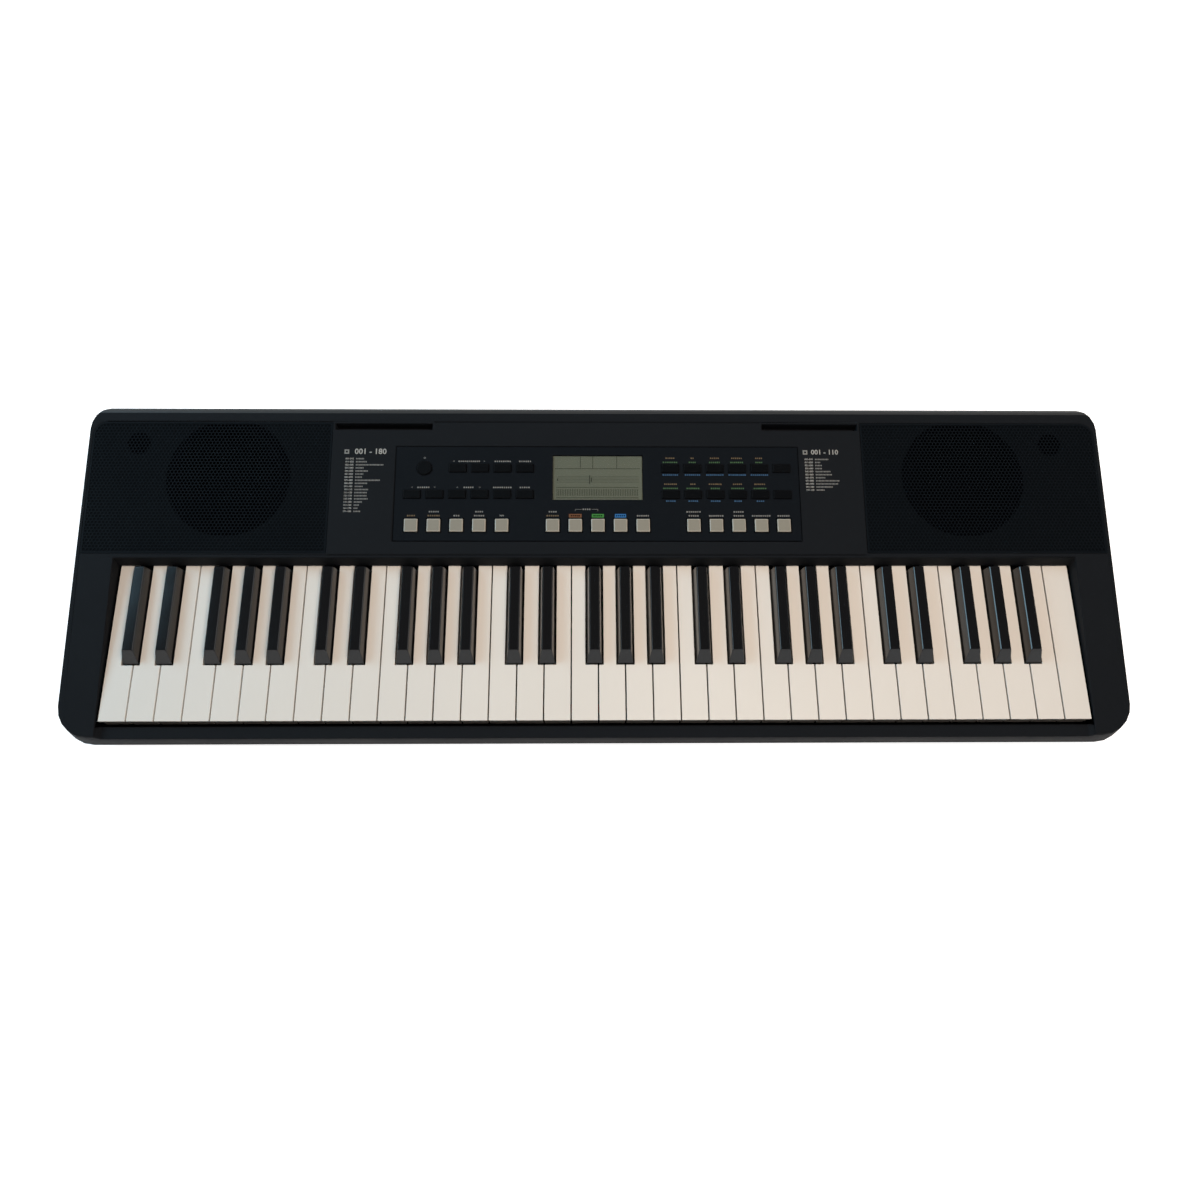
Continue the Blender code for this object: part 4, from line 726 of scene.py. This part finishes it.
# Keybed and boards
# The chassis under the keys is ABS; a red felt strip stops the keys, and carbon contacts in a
# silicone strip meet the green glass-fibre boards. A flat cable joins the boards.
finishes = {
    "keybed_chassis": moulded("moulded_grey_abs", "#2c2c2e", 0.6, 0.0007, 0.00005),
    "key_stop_felt": moulded("pressed_red_felt", "#7a1f1f", 0.95, 0.0009, 0.0003, contrast=0.25),
    "key_contact_rubber": moulded("moulded_silicone", "#6f6f6c", 0.7, 0.0007, 0.00004),
    "button_mat": moulded("moulded_silicone_mat", "#6f6f6c", 0.7, 0.0007, 0.00004),
    "panel_ribbon": moulded("ribbon_cable_jacket", "#c9c7bd", 0.5, 0.0012, 0.0002),
}
board = moulded("solder_masked_board", "#1f5a35", 0.35, 0.0015, 0.00003, contrast=0.18)
for node in ("key_contact_board", "main_board", "panel_board", "socket_board"):
    finishes[node] = board
for node, finish in finishes.items():
    frame["nodes"][node].material_slots[0].material = finish


# Seam tongue
# A low rib moulded inside the lower shell's rim stands behind the upper shell's wall, along the
# back and both sides, so that no light passes through the parting line.
rib_profile = (
    (-0.0073, 0.0545), (-0.0054, 0.0545), (-0.0054, 0.0574),
    (-0.0061, 0.0578), (-0.0061, 0.0602), (-0.0073, 0.0602))
rear_run = (-0.430, 0.430)
side_run = (-0.050, 0.125)
right, back, up = Vector((1, 0, 0)), Vector((0, 1, 0)), Vector((0, 0, 1))
bm = bmesh.new()
for along, outward, edge, run in (
        (right, back, cad_box[1][1], rear_run),
        (back, right, cad_box[1][0], side_run),
        (back, -right, cad_box[1][0], side_run)):
    ends = [
        [bm.verts.new(along * place + outward * (edge + inset) + up * z) for inset, z in rib_profile]
        for place in run]
    for i in range(len(rib_profile)):
        j = (i + 1) % len(rib_profile)
        bm.faces.new((ends[0][i], ends[0][j], ends[1][j], ends[1][i]))
    bm.faces.new(ends[0])
    bm.faces.new(ends[1])
bmesh.ops.recalc_face_normals(bm, faces=bm.faces)
made("seam_tongue", bm, case_plastic)


# Circuit parts
# Epoxy chips, nylon plugs and upright capacitors are soldered on the main board. The capacitors
# stand in shrunk plastic sleeves.
board_low, board_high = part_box("main_board")
board_middle = (board_low + board_high) / 2
board_middle.z = board_high.z


def chamfered_blocks(name, blocks, chamfer, material, body="case"):
    """Boxes (low corner, high corner) with chamfered edges, as one piece."""
    bm = bmesh.new()
    for low, high in blocks:
        low, high = Vector(low), Vector(high)
        cube = bmesh.ops.create_cube(bm, size=1.0)
        bmesh.ops.scale(bm, vec=high - low, verts=cube["verts"])
        bmesh.ops.translate(bm, vec=(low + high) / 2, verts=cube["verts"])
        edges = list({edge for vert in cube["verts"] for edge in vert.link_edges})
        bmesh.ops.bevel(bm, geom=edges, offset=chamfer, segments=1, affect="EDGES")
    return made(name, bm, material, body)


def on_board(footprints, height):
    """Boxes on the main board from their middle (x, y), measured from its own, width and depth."""
    return [
        (board_middle + Vector((x - width / 2, y - depth / 2, 0)),
         board_middle + Vector((x + width / 2, y + depth / 2, height)))
        for x, y, width, depth in footprints]


chips = (
    (-0.040, 0.012, 0.014, 0.014), (0.000, 0.014, 0.008, 0.012), (0.018, 0.014, 0.008, 0.012),
    (0.048, -0.004, 0.010, 0.006))
plugs = ((0.040, 0.02725, 0.020, 0.0045), (-0.010, 0.02925, 0.012, 0.0045))
epoxy = moulded("moulded_black_epoxy", "#17181a", 0.55, 0.0005, 0.00003)
nylon = moulded("natural_white_nylon", "#cfcabb", 0.5, 0.0006, 0.00004)
chamfered_blocks("board_chips", on_board(chips, 0.0014), 0.0002, epoxy)
chamfered_blocks("board_plugs", on_board(plugs, 0.0060), 0.0003, nylon)


def capacitor_tree():
    """Nodes for round capacitors standing at points: a can with a raised rim round a sunk top."""
    tree, given = sized_tree("capacitor_row", ("Radius", "Height"))
    can = add(tree, "GeometryNodeMeshCylinder", {
        "Vertices": 20, "Radius": given["Radius"], "Depth": given["Height"]})
    inset = add(tree, "GeometryNodeExtrudeMesh", {
        "Mesh": can.outputs["Mesh"], "Selection": can.outputs["Top"], "Offset Scale": 0.0})
    ring = add(tree, "GeometryNodeScaleElements", {
        "Geometry": inset.outputs["Mesh"], "Selection": inset.outputs["Top"], "Scale": 0.82})
    sunk = add(tree, "GeometryNodeExtrudeMesh", {
        "Mesh": ring.outputs[0], "Selection": inset.outputs["Top"], "Offset Scale": -0.0004})
    half = add(tree, "ShaderNodeMath", {0: given["Height"], 1: 0.5}, operation="MULTIPLY")
    lift = add(tree, "ShaderNodeCombineXYZ", {"Z": half.outputs[0]})
    placed = add(tree, "GeometryNodeTransform", {
        "Geometry": sunk.outputs["Mesh"], "Translation": lift.outputs[0]})
    cans = add(tree, "GeometryNodeInstanceOnPoints", {
        "Points": given["Geometry"], "Instance": placed.outputs[0]})
    return finished(tree, given, cans.outputs[0])


can_sleeve = moulded("shrunk_black_sleeve", "#1b1e2a", 0.4, 0.0006, 0.00002)
can_sizes = {"Radius": 0.0032, "Height": 0.0085, "Finish": can_sleeve}
can_places = [board_middle + Vector((x, y, 0)) for x, y in (
    (-0.060, -0.020), (-0.048, -0.024), (-0.064, 0.004), (0.062, 0.018), (0.062, 0.006), (-0.020, 0.022))]
capacitors = grown("board_capacitors", capacitor_tree(), can_sizes, can_places)
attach(capacitors, "case")


# Sockets
# Moulded black jack, power and USB sockets stand on their board with their noses through the
# rear wall. Plated sleeves line the jacks, and a tongue with four contacts fills the USB shell.
socket_black = moulded("glass_filled_black_nylon", "#141415", 0.5, 0.0006, 0.00004)
for node in ("power_inlet", "headphone_socket", "pedal_socket", "audio_input_socket"):
    name = node.replace("_socket", "_jack").replace("_inlet", "_jack")
    softened(node, name, 0.0003, socket_black)
softened("usb_socket", "usb_shell", 0.0002, basket_steel)
jack_z = 0.026


def turned_rings(name, rings, count):
    """Steel rings (x, inner radius, outer radius, y start, y end) on the jacks' axes, as one piece."""
    bm = bmesh.new()
    for x, inner, outer, y_start, y_end in rings:
        profile = ((inner, y_start), (outer, y_start), (outer, y_end), (inner, y_end))
        rows = []
        for i in range(count):
            turn = 2 * pi * i / count
            across, rise = cos(turn), sin(turn)
            rows.append([
                bm.verts.new((x + radius * across, y, jack_z + radius * rise)) for radius, y in profile])
        for first, second in zip(rows, rows[1:] + rows[:1]):
            for a in range(4):
                b = (a + 1) % 4
                bm.faces.new((first[a], second[a], second[b], first[b]))
    bmesh.ops.recalc_face_normals(bm, faces=bm.faces)
    return made(name, bm, basket_steel, smooth=True)


sleeve_radii = {
    "headphone_socket": (0.0033, 0.0044), "pedal_socket": (0.0033, 0.0044),
    "audio_input_socket": (0.0022, 0.0031)}
sleeves = []
for node, (inner, outer) in sleeve_radii.items():
    low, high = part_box(node)
    sleeves.append(((low.x + high.x) / 2, inner, outer, high.y - 0.0002, high.y + 0.0003))
turned_rings("jack_sleeves", sleeves, 32)
low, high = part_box("power_inlet")
pin = ((low.x + high.x) / 2, 0.0004, 0.0010, low.y + 0.004, high.y - 0.0012)
turned_rings("power_pin", [pin], 16)

usb_low, usb_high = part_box("usb_socket")
usb_x = (usb_low.x + usb_high.x) / 2
usb_z = (usb_low.z + usb_high.z) / 2
tongue_half = 0.0028
tongue_height = 0.0016
tongue = (
    (usb_x - tongue_half, usb_low.y + 0.001, usb_z - tongue_height),
    (usb_x + tongue_half, usb_high.y - 0.0012, usb_z + tongue_height))
chamfered_blocks("usb_tongue", [tongue], 0.0002, nylon)
contacts = []
for x in (usb_x - 0.0013, usb_x + 0.0013):
    for face_z in (usb_z - tongue_height, usb_z + tongue_height):
        contacts.append((
            (x - 0.0005, usb_low.y + 0.004, face_z - 0.0001),
            (x + 0.0005, usb_high.y - 0.0020, face_z + 0.0001)))
gold = mottled("gold_plated_contacts", "#d8a94e", 0.20, 0.35, 500.0, Metallic=1.0)
chamfered_blocks("usb_contacts", contacts, 0.00005, gold)


# Battery bay
# The hinged door is the lower shell's plastic. Six cells would lie side by side, joined by plated
# plates on the bay's two end walls, with a conical steel spring at each negative end.
softened("battery_door", "bay_door", 0.0005, case_plastic, body="battery_door")
for node in ("battery_contact_minus", "battery_contact_plus"):
    frame["nodes"][node].material_slots[0].material = basket_steel
contact_low, contact_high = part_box("battery_contact_minus")
cell_pitch = 0.0160
plate_half = 0.0135
front_wall = 0.0540
plates = [(x, front_wall + 0.0001, front_wall + 0.0007) for x in (-2 * cell_pitch, 0.0, 2 * cell_pitch)]
plates += [(x, contact_low.y, contact_high.y) for x in (-cell_pitch, cell_pitch)]
plate_boxes = [
    ((x - plate_half, y0, contact_low.z), (x + plate_half, y1, contact_high.z)) for x, y0, y1 in plates]
chamfered_blocks("bay_plates", plate_boxes, 0.0001, basket_steel)


def spring_tree():
    """Nodes for conical coil springs standing at points, turned by an angle about X."""
    sizes = ("Wire radius", "Turns", "Base radius", "Tip radius", "Length", "Turn about X")
    tree, given = sized_tree("cell_springs", sizes)
    coil = add(tree, "GeometryNodeCurveSpiral", {
        "Resolution": 20, "Rotations": given["Turns"], "Start Radius": given["Base radius"],
        "End Radius": given["Tip radius"], "Height": given["Length"]})
    wire = add(tree, "GeometryNodeCurvePrimitiveCircle", {"Resolution": 8, "Radius": given["Wire radius"]})
    tube = add(tree, "GeometryNodeCurveToMesh", {
        "Curve": coil.outputs[0], "Profile Curve": wire.outputs[0], "Fill Caps": True})
    lean = add(tree, "ShaderNodeCombineXYZ", {"X": given["Turn about X"]})
    turned = add(tree, "GeometryNodeTransform", {"Geometry": tube.outputs[0], "Rotation": lean.outputs[0]})
    springs = add(tree, "GeometryNodeInstanceOnPoints", {
        "Points": given["Geometry"], "Instance": turned.outputs[0]})
    return finished(tree, given, springs.outputs[0])


spring_nodes = spring_tree()
spring_sizes = {
    "Wire radius": 0.00035, "Turns": 4.0, "Base radius": 0.0045, "Tip radius": 0.0026, "Length": 0.0065,
    "Finish": basket_steel}
cell_z = (contact_low.z + contact_high.z) / 2
for name, y, turn, cells in (
        ("rear", contact_low.y - 0.0002, pi / 2, (-2.5, -0.5, 1.5)),
        ("front", front_wall + 0.0009, -pi / 2, (-1.5, 0.5, 2.5))):
    places = [(share * cell_pitch, y, cell_z) for share in cells]
    springs = grown("springs_" + name, spring_nodes, {**spring_sizes, "Turn about X": turn}, places)
    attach(springs, "case")

door_low, door_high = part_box("battery_door")
rib_half = 0.0080
rib_width = 0.0006
rib_pitch = 0.0014
ribs = []
for i in range(4):
    y = door_high.y - 0.0082 + rib_pitch * i
    ribs.append(((-rib_half, y, door_low.z + 0.0003), (rib_half, y + rib_width, door_low.z + 0.0014)))
chamfered_blocks("door_grip_ribs", ribs, 0.00015, case_plastic, body="battery_door")


# Feet
# Five feet of moulded black rubber are pressed into the underside. Their surface is matt, so
# that they grip.
foot_rubber = moulded("moulded_black_rubber", "#171717", 0.8, 0.0008, 0.0001)
for place in ("front_left", "front_middle", "front_right", "rear_left", "rear_right"):
    softened("foot_" + place, "rubber_foot_" + place, 0.0006, foot_rubber)


# Case screws
# Eight zinc-plated pan-head screws clamp the two shells from below. They sit deep in round wells,
# and their heads have a cross recess.
screw_seat = 0.0510
screw_places = [(x, y, screw_seat) for x in (-0.438, 0.438) for y in (-0.066, 0.019, 0.109)]
screw_places += [(x, 0.137, screw_seat) for x in (-0.140, 0.140)]


def screw_tree():
    """Nodes for pan-head screws pointing up at points: a rounded head with a cross, and a shank."""
    sizes = ("Head radius", "Head height", "Shank radius", "Shank length", "Cross width", "Cross depth")
    tree, given = sized_tree("case_screws", sizes)

    def scaled(length, share):
        return add(tree, "ShaderNodeMath", {0: length, 1: share}, operation="MULTIPLY").outputs[0]

    def raised(geometry, height):
        offset = add(tree, "ShaderNodeCombineXYZ", {"Z": height})
        moved = add(tree, "GeometryNodeTransform", {"Geometry": geometry, "Translation": offset.outputs[0]})
        return moved.outputs[0]

    head = add(tree, "GeometryNodeMeshCone", {
        "Vertices": 24, "Radius Top": given["Head radius"],
        "Radius Bottom": scaled(given["Head radius"], 0.72), "Depth": given["Head height"]})
    cut = add(tree, "GeometryNodeMeshBoolean", {
        "Mesh 1": head.outputs["Mesh"]}, operation="DIFFERENCE", solver="EXACT")
    long_side = scaled(given["Head radius"], 1.1)
    depth = scaled(given["Cross depth"], 2.0)
    for width, length in ((long_side, given["Cross width"]), (given["Cross width"], long_side)):
        size = add(tree, "ShaderNodeCombineXYZ", {"X": width, "Y": length, "Z": depth})
        bar = add(tree, "GeometryNodeMeshCube", {"Size": size.outputs[0]})
        tree.links.new(bar.outputs["Mesh"], cut.inputs["Mesh 2"])
    shank = add(tree, "GeometryNodeMeshCylinder", {
        "Vertices": 16, "Radius": given["Shank radius"], "Depth": given["Shank length"]})
    both = add(tree, "GeometryNodeJoinGeometry")
    for part in (raised(cut.outputs[0], scaled(given["Head height"], -0.5)),
                 raised(shank.outputs["Mesh"], scaled(given["Shank length"], 0.5))):
        tree.links.new(part, both.inputs[0])
    screws = add(tree, "GeometryNodeInstanceOnPoints", {
        "Points": given["Geometry"], "Instance": both.outputs[0]})
    return finished(tree, given, screws.outputs[0])


screw_sizes = {
    "Head radius": 0.0028, "Head height": 0.0018, "Shank radius": 0.0013, "Shank length": 0.0100,
    "Cross width": 0.0007, "Cross depth": 0.0011, "Finish": basket_steel}
case_screws = grown("case_screws", screw_tree(), screw_sizes, screw_places)
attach(case_screws, "case")


# Stage
# A plain pale floor that curves up into a far wall, all of it seen nearly white, under two soft
# lamps: a warm one overhead and a cool one at the left.
def shown_white(name, code):
    """A pale surface that glows a little for the camera, mirrors and glass, and takes shadows."""
    material = bpy.data.materials.new(name)
    material.use_nodes = True
    tree = material.node_tree
    shader = tree.nodes["Principled BSDF"]
    shader.inputs["Base Color"].default_value = linear(code)
    shader.inputs["Roughness"].default_value = 0.9
    rays = add(tree, "ShaderNodeLightPath").outputs
    seen = rays["Is Camera Ray"]
    for ray in ("Is Glossy Ray", "Is Transmission Ray"):
        seen = add(tree, "ShaderNodeMath", {0: seen, 1: rays[ray]}, operation="MAXIMUM").outputs[0]
    glow = add(tree, "ShaderNodeMath", {0: seen, 1: 0.92}, operation="MULTIPLY")
    shader.inputs["Emission Color"].default_value = (1, 1, 1, 1)
    tree.links.new(glow.outputs[0], shader.inputs["Emission Strength"])
    return material


floor_level = -0.0002
floor_radius = 6.0
cove_radius = 1.5
wall_height = 6.0
cove_steps = 8
profile = [(0.0, floor_level), (floor_radius - cove_radius, floor_level)]
for i in range(1, cove_steps + 1):
    turn = pi / 2 * i / cove_steps
    profile.append((floor_radius - cove_radius * (1 - sin(turn)), cove_radius * (1 - cos(turn))))
profile.append((floor_radius, wall_height))
bm = bmesh.new()
rim = [bm.verts.new((radius, 0, height)) for radius, height in profile]
edges = [bm.edges.new(pair) for pair in zip(rim, rim[1:])]
bmesh.ops.spin(bm, geom=rim + edges, axis=(0, 0, 1), cent=(0, 0, 0), angle=2 * pi, steps=64)
bmesh.ops.remove_doubles(bm, verts=bm.verts, dist=1e-5)
bmesh.ops.recalc_face_normals(bm, faces=bm.faces)
if sum(face.normal.z for face in bm.faces) < 0:
    bmesh.ops.reverse_faces(bm, faces=bm.faces)
floor_mesh = bpy.data.meshes.new("floor")
bm.to_mesh(floor_mesh)
bm.free()
floor_mesh.materials.append(shown_white("pale_floor", "#e7e7e7"))
link(bpy.data.objects.new("floor", floor_mesh))

world = bpy.data.worlds.new("studio")
world.use_nodes = True
background = world.node_tree.nodes["Background"]
background.inputs["Color"].default_value = (1.0, 1.0, 1.0, 1)
background.inputs["Strength"].default_value = 0.13
bpy.context.scene.world = world


def lamp(name, place, target, side, power, colour, mirrored):
    """A square soft lamp turned to a target; mirrored says whether glossy faces show it."""
    light = bpy.data.lights.new(name, "AREA")
    light.shape = "RECTANGLE"
    light.size = light.size_y = side
    light.energy = power
    light.color = colour
    holder = link(bpy.data.objects.new(name, light))
    holder.location = place
    holder.rotation_euler = (Vector(target) - Vector(place)).to_track_quat("-Z", "Y").to_euler()
    holder.visible_glossy = mirrored
    holder.visible_camera = False


lamp("ceiling_light", place=(0.30, -0.10, 1.40), target=(0.1, 0, 0), side=0.7, power=15.4,
     colour=(1.0, 0.85, 0.73), mirrored=False)
lamp("window_light", place=(-1.50, 0.60, 1.10), target=(0, 0, 0), side=0.9, power=16.8,
     colour=(0.42, 0.77, 1.0), mirrored=True)

camera_place = Vector((-0.0144, -0.3327, 0.9298))
elevation = radians(70.66)
yaw = radians(3.03)
roll = radians(2.82)
forward = Vector((sin(yaw) * cos(elevation), cos(yaw) * cos(elevation), -sin(elevation)))
level = Vector((cos(yaw), -sin(yaw), 0))
upward = level.cross(forward)
side_axis = cos(roll) * level + sin(roll) * upward
top_axis = -sin(roll) * level + cos(roll) * upward
turn = Matrix((side_axis, top_axis, -forward)).transposed()
camera_data = bpy.data.cameras.new("camera")
camera_data.sensor_width = 36
camera_data.lens = 31.28
camera = link(bpy.data.objects.new("camera", camera_data))
camera.matrix_world = Matrix.Translation(camera_place) @ turn.to_4x4()
bpy.context.scene.camera = camera

bpy.context.scene.view_settings.view_transform = "Standard"
